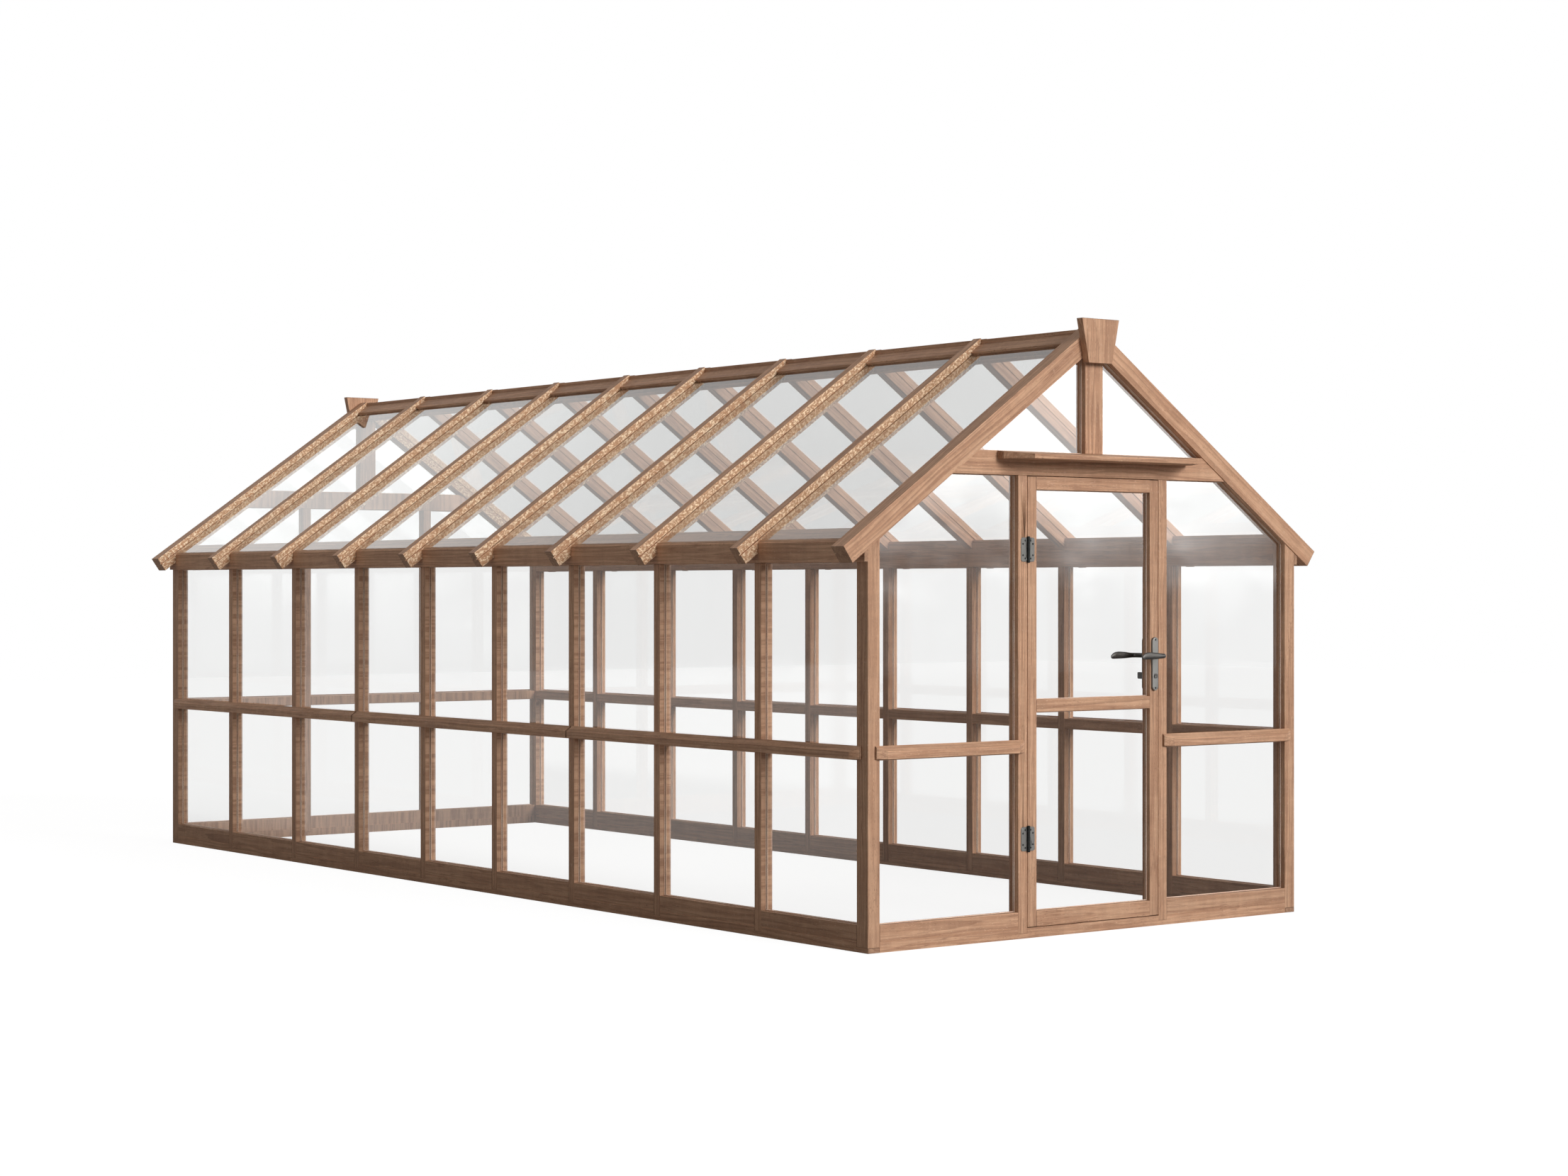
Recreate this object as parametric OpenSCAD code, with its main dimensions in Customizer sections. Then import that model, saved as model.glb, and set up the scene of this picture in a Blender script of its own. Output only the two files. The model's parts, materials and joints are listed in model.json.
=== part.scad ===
// Wooden greenhouse with glazed timber walls, a 35 degree glazed roof and one hinged front door.
// Millimetres. The origin is under the middle of the house, on the ground, and +Z is up.
// The door gable faces -Y, and the ridge runs along Y.
//
// A wall is drawn in its own frame: x runs along it, y goes in from its outer face, and z is up.
// On_front, on_rear, on_left and on_right stand that frame in its place.

/* [House] */
// Width over the corner posts
house_w = 2400; // [2200:10:3000]
// Thickness of the walls
wall_t = 58; // [56:1:70]
// Height of the studs' tops, under the eaves plate
eaves_z = 1518; // [1450:1:1700]
// Pitch of the roof in degrees
pitch = 35; // [32:1:38]

/* [Glazing bays of a side wall] */
// Clear length of the first and the last bay
bay_end = 619; // [500:1:700]
// Clear length of the second bay from each end
bay_wide = 673; // [550:1:750]
// Clear length of the third bay from each end
bay_third = 619; // [500:1:700]
// Clear length of each middle bay
bay_mid = 606; // [500:1:700]

/* [Posts and studs] */
// Width of a corner post across the gable
post_w = 59; // [59:1:80]
// Width of a corner post along the side wall
post_l = 70; // [65:1:90]
// Width of a side wall's stud
stud_w = 45; // [40:1:60]
// Width of a door jamb and of a rear stud
jamb_w = 48; // [44:1:60]
// Width of the doorway between its jambs
doorway_w = 742; // [700:1:860]
// Depth that posts, studs and jambs are let into the sole plates
foot_let = 21; // [10:1:30]

/* [Sole plates and rails] */
// Height of a sole plate
sole_h = 41; // [36:1:60]
// Height of a bottom rail
bottom_rail_h = 66; // [50:1:90]
// Height of the noggings' underside
nogging_z = 748; // [700:1:850]
// Height of a nogging
nogging_h = 48; // [40:1:60]
// Height of a cover rail above the noggings' underside
cover_up = 4; // [2:1:8]
// Height of a cover rail against the wall
cover_h = 52; // [46:1:60]
// Height of a cover rail's front face
cover_front_h = 30; // [20:1:40]
// Reach of a cover rail out from the wall
cover_reach = 30; // [20:1:40]
// Reach of a cover rail's square end before its bevel
cover_return = 10; // [5:1:15]
// Length of a cover rail's bevelled end
cover_bevel = 44; // [30:1:60]
// Distance that a side cover rail starts in from the post's outer corner
cover_inset = 38; // [20:1:50]
// Lap of a gable cover rail over a post and a jamb
cover_lap = 25; // [15:1:40]

/* [Glass] */
// Thickness of the glass
glass_t = 4; // [3:1:5]
// Width of a glazing groove
groove_w = 5; // [5:0.5:7]
// Depth of a glazing groove
groove_d = 10; // [8:1:12]
// Depth that the glass goes into its groove
glass_bite = 8; // [5:1:8]
// Depth of a wall pane's middle behind the outer face
pane_in = 27.5; // [24:0.5:32]

/* [Roof] */
// Height of the eaves plate's outer face
plate_h = 82; // [70:1:100]
// Reach of the eaves plate outside the wall
plate_out = 18; // [10:1:30]
// Depth of a rafter, square to its slope
rafter_d = 78; // [70:1:90]
// Depth of a rafter left over the eaves plate
rafter_over = 42.4; // [40:0.2:48]
// Width of an intermediate rafter
rafter_w = 52; // [48:1:60]
// Thickness of a gable rafter
gable_rafter_t = 80; // [76:1:90]
// Reach of a gable rafter out from the gable wall
gable_rafter_out = 5; // [0:1:10]
// Overhang of the rafters' upper corner outside the wall
overhang = 125; // [110:1:160]
// Depth of a roof pane's underside below the rafters' tops, square to the slope
roof_pane_in = 35.5; // [33:0.5:37]
// Thickness of the ridge board
ridge_t = 32; // [24:1:40]
// Height of the ridge board
ridge_h = 103; // [95:1:120]
// Drop of the ridge board's top below the roof's apex
ridge_drop = 17.5; // [12:0.5:25]
// Thickness of a ridge bead
bead_t = 12; // [8:1:16]
// Width of a ridge bead down the slope
bead_w = 85; // [60:1:110]

/* [Gable tops] */
// Height of a tie beam's underside
tie_z = 1872; // [1830:1:1920]
// Height of a tie beam
tie_h = 96; // [80:1:110]
// Width of a king post
king_w = 98; // [80:1:120]
// Thickness of a finial board
finial_t = 35; // [25:1:45]
// Width of a finial board's top
finial_top_w = 208; // [170:1:240]
// Width of a finial board's foot
finial_foot_w = 131; // [100:1:160]
// Height of a finial board
finial_h = 183; // [150:1:220]
// Rise of a finial board above the roof's apex
finial_rise = 18.5; // [5:0.5:30]
// Reach of the drip hood out from the gable
hood_reach = 148; // [110:1:180]
// Width of the drip hood against the gable
hood_w = 1066; // [960:1:1120]
// Width of the drip hood's front edge
hood_front_w = 926; // [800:1:950]
// Length of the drip hood's square returns
hood_return = 36; // [20:1:60]
// Thickness of the drip hood against the gable
hood_t = 34; // [28:1:44]
// Fall of the drip hood's top from the gable to its front edge
hood_fall = 16; // [8:1:20]

/* [Door] */
// Gap between the door and the frame
door_gap = 3; // [2:0.5:4]
// Thickness of the door
door_t = 45; // [44:1:46]
// Width of a door stile
stile_w = 48; // [48:1:70]
// Height of the door's top rail
door_top_h = 53; // [45:1:70]
// Height of the door's middle rail
door_mid_h = 51; // [45:1:70]
// Height of the door's middle rail's underside above the ground
door_mid_z = 913; // [870:1:930]
// Height of the door's bottom rail
door_bottom_h = 63; // [50:1:90]
// Depth of the door's glazing grooves
door_groove_d = 7; // [6:0.5:7]
// Depth that the door's glass goes into its grooves
door_bite = 6; // [4:0.5:6]
// Width of a door stop
stop_w = 10; // [8:0.5:10]
// Gap between the closed door and its stops
stop_gap = 0.5; // [0.5:0.1:1]

/* [Hinges] */
// Height of a hinge
hinge_h = 104; // [90:1:120]
// Reach of a hinge leaf from the pin
leaf_reach = 36.5; // [32:0.5:40]
// Thickness of a hinge leaf
leaf_t = 2.5; // [2:0.1:3]
// Radius of a hinge leaf's outer corners
leaf_corner_r = 10; // [4:0.5:12]
// Distance of a hinge leaf's ends from the ends of its knuckles
leaf_end = 3; // [0:0.5:5]
// Distance of a hinge's outer screws from its ends
leaf_screw_end = 16; // [14:0.5:18]
// Distance between the two screws of a pair, measured up the hinge
leaf_screw_pair = 13; // [12:0.5:16]
// Outer radius of a hinge knuckle
knuckle_r = 6.5; // [6:0.1:6.6]
// Radius of a hinge pin
pin_r = 3; // [2:0.1:4]
// Distance of the hinge pins in front of the gable's face
pin_out = 7; // [7:0.1:8]
// Height of the lower hinge's foot
low_hinge_z = 350; // [250:1:450]
// Height of the upper hinge's foot
top_hinge_z = 1520; // [1450:1:1600]
// Radius of a hinge screw's head
screw_head_r = 4; // [3.4:0.1:4.4]
// Radius of a hinge screw's shank
screw_r = 2.2; // [1.8:0.1:2.4]
// Length of a hinge screw
screw_l = 30; // [20:1:38]

/* [Lock and levers] */
// Distance of the spindles from the door's edge
backset = 25; // [24:0.5:27]
// Height of the lever spindle
lever_z = 1133; // [1080:1:1180]
// Distance of the thumb turn below the lever spindle
turn_drop = 85; // [82:1:92]
// Width of a backplate
backplate_w = 32; // [30:1:34]
// Height of a backplate
backplate_h = 223; // [215:1:240]
// Height of a backplate's foot below the lever spindle
backplate_drop = 146; // [142:1:150]
// Thickness of a backplate
backplate_t = 11; // [8:1:13]
// Distance of the backplate's bolts from its ends
backplate_bolt_in = 10.5; // [9:0.5:12]
// Length of a lever from its spindle to its tip
lever_l = 136; // [120:1:150]
// Height of a lever's paddle where it is widest
lever_h = 30; // [24:1:32]
// Rise of a lever's paddle above its neck
lever_rise = 1.5; // [0:0.5:3]
// Height of a lever at its tip
lever_tip_h = 18; // [12:1:20]
// Thickness of a lever's paddle
lever_t = 11; // [10:1:14]
// Distance of a lever arm's middle from the door's face
lever_out = 70; // [62:1:76]
// Radius of the bend between a lever's neck and its arm
lever_bend_r = 20; // [16:1:24]
// Drop of a lever's tip
lever_droop = 5; // [0:1:8]
// Radius of a lever's neck
neck_r = 10; // [8:0.5:11]
// Height of the snib
snib_h = 28; // [24:1:30]
// Thickness of the snib
snib_w = 8; // [7:0.5:10]
// Reach of the snib from its disc
snib_out = 34; // [28:1:36]
// Width of the square lever spindle
spindle_w = 8; // [7:0.5:8]
// Thickness of the lock case
case_t = 14; // [13:0.5:16]
// Depth of the lock case with its forend
case_l = 40; // [40:0.5:40.5]
// Wall of the lock case
case_wall = 1.5; // [1:0.1:1.6]
// Thickness of the forend
forend_t = 3; // [2.5:0.1:3.2]
// Width of the forend
forend_w = 22; // [20:1:26]
// Travel of the latch bolt
latch_throw = 11; // [10:0.5:11]
// Height of the latch bolt
latch_h = 18; // [16:1:18]
// Travel of the dead bolt
bolt_throw = 12; // [10:0.5:12]
// Height of the dead bolt
bolt_h = 24; // [24:0.5:26]
// Thickness of the strike plate
strike_t = 1.5; // [1.5:0.1:2]
// Width of the strike plate
strike_w = 26; // [24:1:30]
// Depth of the bolts' pockets in the jamb
pocket_d = 14; // [13:0.5:20]

/* [Fits] */
// Radial clearance of a pin or a journal in its bore
running_fit = 0.05; // [0.02:0.01:0.08]
// Clearance round a sliding bolt and beside a turning part
slide_fit = 0.3; // [0.2:0.05:0.35]
// Clearance between neighbouring hinge knuckles
knuckle_fit = 0.4; // [0.3:0.05:0.6]
// Hairline between two timbers that butt end to end on a wall's face
butt_gap = 0.6; // [0.4:0.1:1]
// Hairline between sloping faces that lie on each other
slope_gap = 0.1; // [0.05:0.05:0.3]

/* [Hidden] */
$fn = 48;

// Colours
pine = [0.72, 0.54, 0.42];
pine_dark = [0.64, 0.47, 0.36];
clear_glass = [0.85, 0.88, 0.88, 0.35];
grey_metal = [0.59, 0.58, 0.56];
dark_metal = [0.42, 0.41, 0.40];

// A cut runs this far past the face that it opens
past = 1;

// Length of the house, from its posts, studs and bays
bays = [bay_end, bay_wide, bay_third, bay_mid, bay_mid, bay_mid, bay_third, bay_wide, bay_end];
studs_n = len(bays) - 1;
function first_sum(list, n) = n < 1 ? 0 : list[n - 1] + first_sum(list, n - 1);
house_l = 2 * post_l + studs_n * stud_w + first_sum(bays, len(bays));

// The hood reaches out in front and the finial behind, and the origin is midway between their faces
finial_reach = gable_rafter_out + finial_t;
front_y = hood_reach - (hood_reach + house_l + finial_reach) / 2;
rear_y = front_y + house_l;
half_w = house_w / 2;

// Heights of the wall timbers
bottom_rail_top = sole_h + bottom_rail_h;
nogging_top = nogging_z + nogging_h;
tie_top = tie_z + tie_h;
foot_z = sole_h - foot_let;

// Places along a side wall: bay i starts at bay_y(i), and stud i follows it
function bay_y(i) = front_y + post_l + first_sum(bays, i) + i * stud_w;
function stud_y(i) = bay_y(i) + bays[i];
function stud_mid(i) = stud_y(i) + stud_w / 2;

// Places along a gable
post_in = half_w - post_w;
jamb_in = doorway_w / 2;
jamb_out = jamb_in + jamb_w;

// The roof: top_z(x) is the rafters' top, and under_z(x) their underside
plate_x = half_w + plate_out;
apex_z = eaves_z + plate_h + plate_x * tan(pitch) + rafter_over / cos(pitch);
foot_x = half_w + overhang;
function top_z(x) = apex_z - abs(x) * tan(pitch);
function under_z(x) = top_z(x) - rafter_d / cos(pitch);
// A point on the left slope: down_slope(x, d) lies d square below the top at x, and plumb(x, d) under x
function down_slope(x, d) = [-x + d * sin(pitch), top_z(x) - d * cos(pitch)];
function plumb(x, d) = [-x, top_z(x) - d / cos(pitch)];
ridge_top = apex_z - ridge_drop;
ridge_foot = ridge_top - ridge_h;
roof_groove_in = roof_pane_in - groove_w;
roof_glass_in = roof_pane_in - glass_t;
// Rafter i stands on stud i, and bay i of the roof lies before it
function rafter_bay(i) = [
    i == 0 ? front_y - gable_rafter_out + gable_rafter_t : stud_mid(i - 1) + rafter_w / 2,
    i == studs_n ? rear_y + gable_rafter_out - gable_rafter_t : stud_mid(i) - rafter_w / 2
];

// The door, with its faces at y = 0 and door_t
door_x = jamb_in - door_gap;
door_foot = sole_h + door_gap;
door_top = tie_z - door_gap;
door_mid_top = door_mid_z + door_mid_h;
door_rail_x = door_x - stile_w;
door_mid_y = door_t / 2;

// The hinges: their pins stand over the gap between the jamb and the door
hinge_x = jamb_in - door_gap / 2;
knuckles_n = 5;
knuckle_h = (hinge_h - (knuckles_n - 1) * knuckle_fit) / knuckles_n;
// A leaf stops here, clear of the other leaf's knuckles
leaf_start = 5.2;
leaf_screw_side = 6;
pin_head_t = 1.5;
pin_head_r = knuckle_r - 1.5;
screw_head_t = 2;

// The lock
spindle_x = door_x - backset;
turn_z = lever_z - turn_drop;
case_x = door_x - case_l;
case_foot = turn_z - 30;
case_top = lever_z + 35;
forend_past = 10;
forend_x = door_x - forend_t;
bolt_t = case_t - 2 * case_wall - 2 * slide_fit;
bolt_y = door_mid_y - bolt_t / 2;
backplate_z = lever_z - backplate_drop;
backplate_bolt_r = 2;
spindle_hole_r = 8;
turn_hole_r = 6;
// The follower's journal and finger, which pushes the latch bolt back as the lever turns
follower_r = 7;
finger_l = 16;
finger_w = 4;
finger_lean = 20;
latch_arm_z = lever_z + finger_l + 2 * slide_fit;
latch_arm_h = 4;
latch_tab_w = 4.1;
latch_tab_fit = 0.15;
latch_nose = 3;
latch_bevel = 9;
// The crank on the thumb turn, whose pin slides in the dead bolt's slot
crank_journal_r = 5;
crank_lean = 45;
crank_l = bolt_throw / (2 * sin(crank_lean));
crank_pin_r = 1.5;
crank_w = 4;
crank_plate_t = 2.5;
crank_plate_w = 2;
crank_slot_side = 0.6;
turn_spindle_w = 5;
turn_disc_r = 10;
turn_disc_t = 3;
turn_stem_r = 6;
turn_stem_in = 1;
snib_neck = 8;
snib_round = 5;
coin_slot_w = 2;
coin_slot_l = 14;
coin_slot_d = 1.5;
spindle_fit = 0.1;
neck_in = 9;
// A lever's neck runs straight to neck_end, and the spindle stops a little before its bend
neck_end = lever_out - lever_bend_r;
spindle_end = neck_end - 2;
lever_soft = 2.5;
lever_thin = 1.5;
lever_root_in = 0.5;
paddle_in = 32;

// The four walls' frames
module on_front() translate([0, front_y, 0]) children();
module on_rear() translate([0, rear_y, 0]) mirror([0, 1, 0]) children();
module on_left() translate([-half_w, 0, 0]) rotate([0, 0, 90]) mirror([0, 1, 0]) children();
module on_right() mirror([1, 0, 0]) on_left() children();
module both_sides() {
    children();
    mirror([1, 0, 0]) children();
}

// A block from its low corner to its high corner
module block(low, high) translate(low) cube(high - low);
// A wall timber from x0 to x1 and z0 to z1, as deep as the wall
module timber(x0, x1, z0, z1) block([x0, 0, z0], [x1, wall_t, z1]);
// An outline in x and z, drawn out along y, and one in y and z, drawn out along x
module along_y(y0, y1)
    translate([0, y1, 0]) rotate([90, 0, 0]) linear_extrude(height = y1 - y0) children();
module along_x(x0, x1)
    translate([x0, 0, 0]) rotate([90, 0, 90]) linear_extrude(height = x1 - x0) children();
// A round bar along y
module bar_y(x, z, r, y0, y1) translate([x, y0, z]) rotate([-90, 0, 0]) cylinder(r = r, h = y1 - y0);
// A cone along y, from radius r0 at y0 to r1 at y1
module cone_y(x, z, r0, r1, y0, y1)
    translate([x, y0, z]) rotate([-90, 0, 0]) cylinder(r1 = r0, r2 = r1, h = y1 - y0);

// Everything under the rafters' undersides, raised square to the slope by up
module under_roof(up, y0, y1)
    along_y(y0, y1)
        polygon([
            [-house_w, 0], [house_w, 0],
            [house_w, under_z(house_w) + up / cos(pitch)],
            [0, under_z(0) + up / cos(pitch)],
            [-house_w, under_z(house_w) + up / cos(pitch)]
        ]);

// One slab of a wall pane, or of its groove, in a wall's frame
module pane(x0, x1, z0, z1, edge, t)
    block([x0 - edge, pane_in - t / 2, z0 - edge], [x1 + edge, pane_in + t / 2, z1 + edge]);
// A gable's panes: edge is what goes into the frame, and t is the thickness
module gable_side_panes(edge, t) {
    pane(-post_in, -jamb_out, bottom_rail_top, nogging_z, edge, t);
    intersection() {
        union() {
            pane(-post_in, -jamb_out, nogging_top, tie_z, edge, t);
            pane(-post_in, -king_w / 2, tie_top, apex_z, edge, t);
        }
        under_roof(edge, 0, wall_t);
    }
}
module gable_panes(edge, t, doorway) {
    both_sides() gable_side_panes(edge, t);
    if (!doorway) {
        pane(-jamb_in, jamb_in, bottom_rail_top, nogging_z, edge, t);
        pane(-jamb_in, jamb_in, nogging_top, tie_z, edge, t);
    }
}
module side_panes(edge, t)
    for (i = [0 : studs_n]) {
        pane(bay_y(i), stud_y(i), bottom_rail_top, nogging_z, edge, t);
        pane(bay_y(i), stud_y(i), nogging_top, eaves_z, edge, t);
    }

// Plain bars that the finished timbers and their housings are both cut from
module post_bars() {
    both_sides() {
        on_front() block([-half_w, 0, foot_z], [-post_in, post_l, apex_z]);
        on_rear() block([-half_w, 0, foot_z], [-post_in, post_l, apex_z]);
    }
}
module jamb_bars() both_sides() timber(-jamb_out, -jamb_in, foot_z, tie_z);
module stud_bars() for (i = [0 : studs_n - 1]) timber(stud_y(i), stud_y(i) + stud_w, foot_z, eaves_z);
module left_rafter_bar(y0, y1)
    along_y(y0, y1)
        polygon([
            plumb(ridge_t / 2, 0), down_slope(foot_x, 0),
            down_slope(foot_x, rafter_d), plumb(ridge_t / 2, rafter_d)
        ]);
module gable_rafter_bars() {
    left_rafter_bar(front_y - gable_rafter_out, front_y - gable_rafter_out + gable_rafter_t);
    left_rafter_bar(rear_y + gable_rafter_out - gable_rafter_t, rear_y + gable_rafter_out);
}
module eaves_bar()
    along_y(front_y, rear_y)
        polygon([
            [-plate_x, eaves_z], [-half_w + wall_t, eaves_z],
            [-half_w + wall_t, eaves_z + plate_h + (plate_out + wall_t) * tan(pitch)],
            [-plate_x, eaves_z + plate_h]
        ]);
module ridge_bar()
    block([-ridge_t / 2, front_y - gable_rafter_out, ridge_foot],
          [ridge_t / 2, rear_y + gable_rafter_out, ridge_top]);

// Sole plates
module side_sole()
    difference() {
        on_left() timber(front_y, rear_y, 0, sole_h);
        post_bars();
        on_left() stud_bars();
    }
module gable_sole()
    difference() {
        timber(-half_w + wall_t, half_w - wall_t, 0, sole_h);
        both_sides() block([-half_w, 0, foot_z], [-post_in, post_l, sole_h + past]);
        jamb_bars();
    }
module sole_plate_front() color(pine_dark) on_front() gable_sole();
module sole_plate_rear() color(pine_dark) on_rear() gable_sole();
module sole_plate_left() color(pine_dark) side_sole();
module sole_plate_right() color(pine_dark) mirror([1, 0, 0]) side_sole();

// Posts and studs
module gable_posts()
    difference() {
        intersection() {
            both_sides() block([-half_w, 0, foot_z], [-post_in, post_l, apex_z]);
            under_roof(-slope_gap, 0, post_l);
        }
        gable_panes(groove_d, groove_w, true);
    }
module corner_posts_front()
    color(pine) difference() {
        on_front() gable_posts();
        on_left() side_panes(groove_d, groove_w);
        on_right() side_panes(groove_d, groove_w);
    }
module corner_posts_rear()
    color(pine) difference() {
        on_rear() gable_posts();
        on_left() side_panes(groove_d, groove_w);
        on_right() side_panes(groove_d, groove_w);
    }
module side_studs()
    difference() {
        stud_bars();
        side_panes(groove_d, groove_w);
    }
module studs_left() color(pine) on_left() side_studs();
module studs_right() color(pine) on_right() side_studs();
module rear_studs()
    color(pine) on_rear() difference() {
        jamb_bars();
        gable_panes(groove_d, groove_w, false);
    }

// Rails between the uprights: bottom rails on the sole plates, and noggings between the panes
module gable_bars(z0, z1, doorway)
    difference() {
        union() {
            both_sides() timber(-post_in, -jamb_out, z0, z1);
            if (!doorway) timber(-jamb_in, jamb_in, z0, z1);
        }
        gable_panes(groove_d, groove_w, doorway);
    }
module side_bars(z0, z1)
    difference() {
        for (i = [0 : studs_n]) timber(bay_y(i), stud_y(i), z0, z1);
        side_panes(groove_d, groove_w);
    }
module bottom_rails_front() color(pine) on_front() gable_bars(sole_h, bottom_rail_top, true);
module bottom_rails_rear() color(pine) on_rear() gable_bars(sole_h, bottom_rail_top, false);
module bottom_rails_left() color(pine) on_left() side_bars(sole_h, bottom_rail_top);
module bottom_rails_right() color(pine) on_right() side_bars(sole_h, bottom_rail_top);
module noggings_front() color(pine) on_front() gable_bars(nogging_z, nogging_top, true);
module noggings_rear() color(pine) on_rear() gable_bars(nogging_z, nogging_top, false);
module noggings_left() color(pine) on_left() side_bars(nogging_z, nogging_top);
module noggings_right() color(pine) on_right() side_bars(nogging_z, nogging_top);

// A cover rail planted on the wall's face from x0 to x1, with a weathered top and bevelled free ends
module cover_rail(x0, x1, bevel_0, bevel_1) {
    z0 = nogging_z + cover_up;
    intersection() {
        translate([0, 0, z0])
            linear_extrude(height = cover_h)
                polygon([
                    [x0, 0],
                    [x0, bevel_0 ? -cover_return : -cover_reach],
                    [bevel_0 ? x0 + cover_bevel : x0 + past, -cover_reach],
                    [bevel_1 ? x1 - cover_bevel : x1 - past, -cover_reach],
                    [x1, bevel_1 ? -cover_return : -cover_reach],
                    [x1, 0]
                ]);
        along_x(x0, x1)
            polygon([
                [0, z0], [0, z0 + cover_h], [-cover_reach, z0 + cover_front_h], [-cover_reach, z0]
            ]);
    }
}
module side_covers() {
    joint_0 = stud_mid(2);
    joint_1 = stud_mid(studs_n - 3);
    cover_rail(front_y + cover_inset, joint_0 - butt_gap, true, false);
    cover_rail(joint_0, joint_1, false, false);
    cover_rail(joint_1 + butt_gap, rear_y - cover_inset, false, true);
}
module cover_rails_front()
    color(pine) on_front() both_sides() cover_rail(-post_in - cover_lap, -jamb_out + cover_lap, true, true);
module cover_rails_rear() {
    joint = (jamb_in + jamb_out) / 2;
    color(pine) on_rear() {
        both_sides() cover_rail(-post_in - cover_lap, -joint - butt_gap, true, false);
        cover_rail(-joint, joint, false, false);
    }
}
module cover_rails_left() color(pine) on_left() side_covers();
module cover_rails_right() color(pine) on_right() side_covers();

// The roof's timbers
module eaves_plate_left()
    color(pine) difference() {
        eaves_bar();
        post_bars();
        gable_rafter_bars();
        on_left() side_panes(groove_d, groove_w);
    }
module eaves_plate_right() mirror([1, 0, 0]) eaves_plate_left();
// The grooves that the roof glass lies in, cut groove_d into the rafters and through their feet
module roof_grooves()
    for (i = [0 : studs_n])
        along_y(rafter_bay(i)[0] - groove_d, rafter_bay(i)[1] + groove_d)
            polygon([
                plumb(0, roof_groove_in), down_slope(foot_x + past, roof_groove_in),
                down_slope(foot_x + past, roof_pane_in + slope_gap), plumb(0, roof_pane_in + slope_gap)
            ]);
module rafters_left()
    color(pine) difference() {
        for (i = [0 : studs_n - 1])
            left_rafter_bar(stud_mid(i) - rafter_w / 2, stud_mid(i) + rafter_w / 2);
        eaves_bar();
        roof_grooves();
    }
module rafters_right() mirror([1, 0, 0]) rafters_left();
module gable_rafter()
    difference() {
        left_rafter_bar(front_y - gable_rafter_out, front_y - gable_rafter_out + gable_rafter_t);
        roof_grooves();
        on_front() gable_panes(groove_d, groove_w, true);
    }
module gable_rafters_front() color(pine) both_sides() gable_rafter();
module gable_rafters_rear()
    color(pine) translate([0, front_y + rear_y, 0]) mirror([0, 1, 0]) both_sides() gable_rafter();
module ridge_board() color(pine) ridge_bar();
// Beads that close the top edge of the roof glass against the ridge board
module ridge_beads() {
    low_x = ridge_t / 2 + bead_w * cos(pitch);
    bead_in = roof_glass_in - slope_gap;
    color(pine) both_sides()
        for (i = [0 : studs_n])
            along_y(rafter_bay(i)[0], rafter_bay(i)[1])
                polygon([
                    plumb(ridge_t / 2, bead_in - bead_t), down_slope(low_x, bead_in - bead_t),
                    down_slope(low_x, bead_in), plumb(ridge_t / 2, bead_in)
                ]);
}

// The gables' tops
module tie_beam(doorway)
    difference() {
        intersection() {
            timber(-half_w, half_w, tie_z, tie_top);
            under_roof(-slope_gap, 0, wall_t);
        }
        gable_panes(groove_d, groove_w, doorway);
    }
module tie_beam_front() color(pine) on_front() tie_beam(true);
module tie_beam_rear() color(pine) on_rear() tie_beam(false);
module king_post()
    difference() {
        intersection() {
            timber(-king_w / 2, king_w / 2, tie_top, apex_z);
            under_roof(-slope_gap, 0, wall_t);
        }
        gable_panes(groove_d, groove_w, true);
        block([-ridge_t / 2, -past, ridge_foot], [ridge_t / 2, wall_t + past, apex_z]);
    }
module king_posts() {
    color(pine) on_front() king_post();
    color(pine) on_rear() king_post();
}
module finial() {
    top = apex_z + finial_rise;
    along_y(-finial_reach, -gable_rafter_out)
        polygon([
            [-finial_top_w / 2, top], [-finial_foot_w / 2, top - finial_h],
            [finial_foot_w / 2, top - finial_h], [finial_top_w / 2, top]
        ]);
}
module finials() {
    color(pine) on_front() finial();
    color(pine) on_rear() finial();
}
// A board over the door that throws the rain off, with its front corners cut away
module drip_hood() {
    z1 = tie_top;
    z0 = z1 - hood_t;
    color(pine) on_front() intersection() {
        translate([0, 0, z0])
            linear_extrude(height = hood_t)
                polygon([
                    [-hood_w / 2, 0], [-hood_w / 2, -hood_return], [-hood_front_w / 2, -hood_reach],
                    [hood_front_w / 2, -hood_reach], [hood_w / 2, -hood_return], [hood_w / 2, 0]
                ]);
        along_x(-hood_w / 2, hood_w / 2)
            polygon([[0, z0], [0, z1], [-hood_reach, z1 - hood_fall], [-hood_reach, z0]]);
    }
}

// Glass
module glass_front() color(clear_glass) on_front() gable_panes(glass_bite, glass_t, true);
module glass_rear() color(clear_glass) on_rear() gable_panes(glass_bite, glass_t, false);
module glass_left() color(clear_glass) on_left() side_panes(glass_bite, glass_t);
module glass_right() color(clear_glass) on_right() side_panes(glass_bite, glass_t);
module roof_glass_left() {
    // The panes run from the ridge board down to the eaves plate's outer face
    low_x = plate_x + roof_pane_in * sin(pitch);
    color(clear_glass)
        for (i = [0 : studs_n])
            along_y(rafter_bay(i)[0] - glass_bite, rafter_bay(i)[1] + glass_bite)
                polygon([
                    plumb(ridge_t / 2, roof_glass_in), down_slope(low_x, roof_glass_in),
                    down_slope(low_x, roof_pane_in), plumb(ridge_t / 2, roof_pane_in)
                ]);
}
module roof_glass_right() mirror([1, 0, 0]) roof_glass_left();

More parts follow.
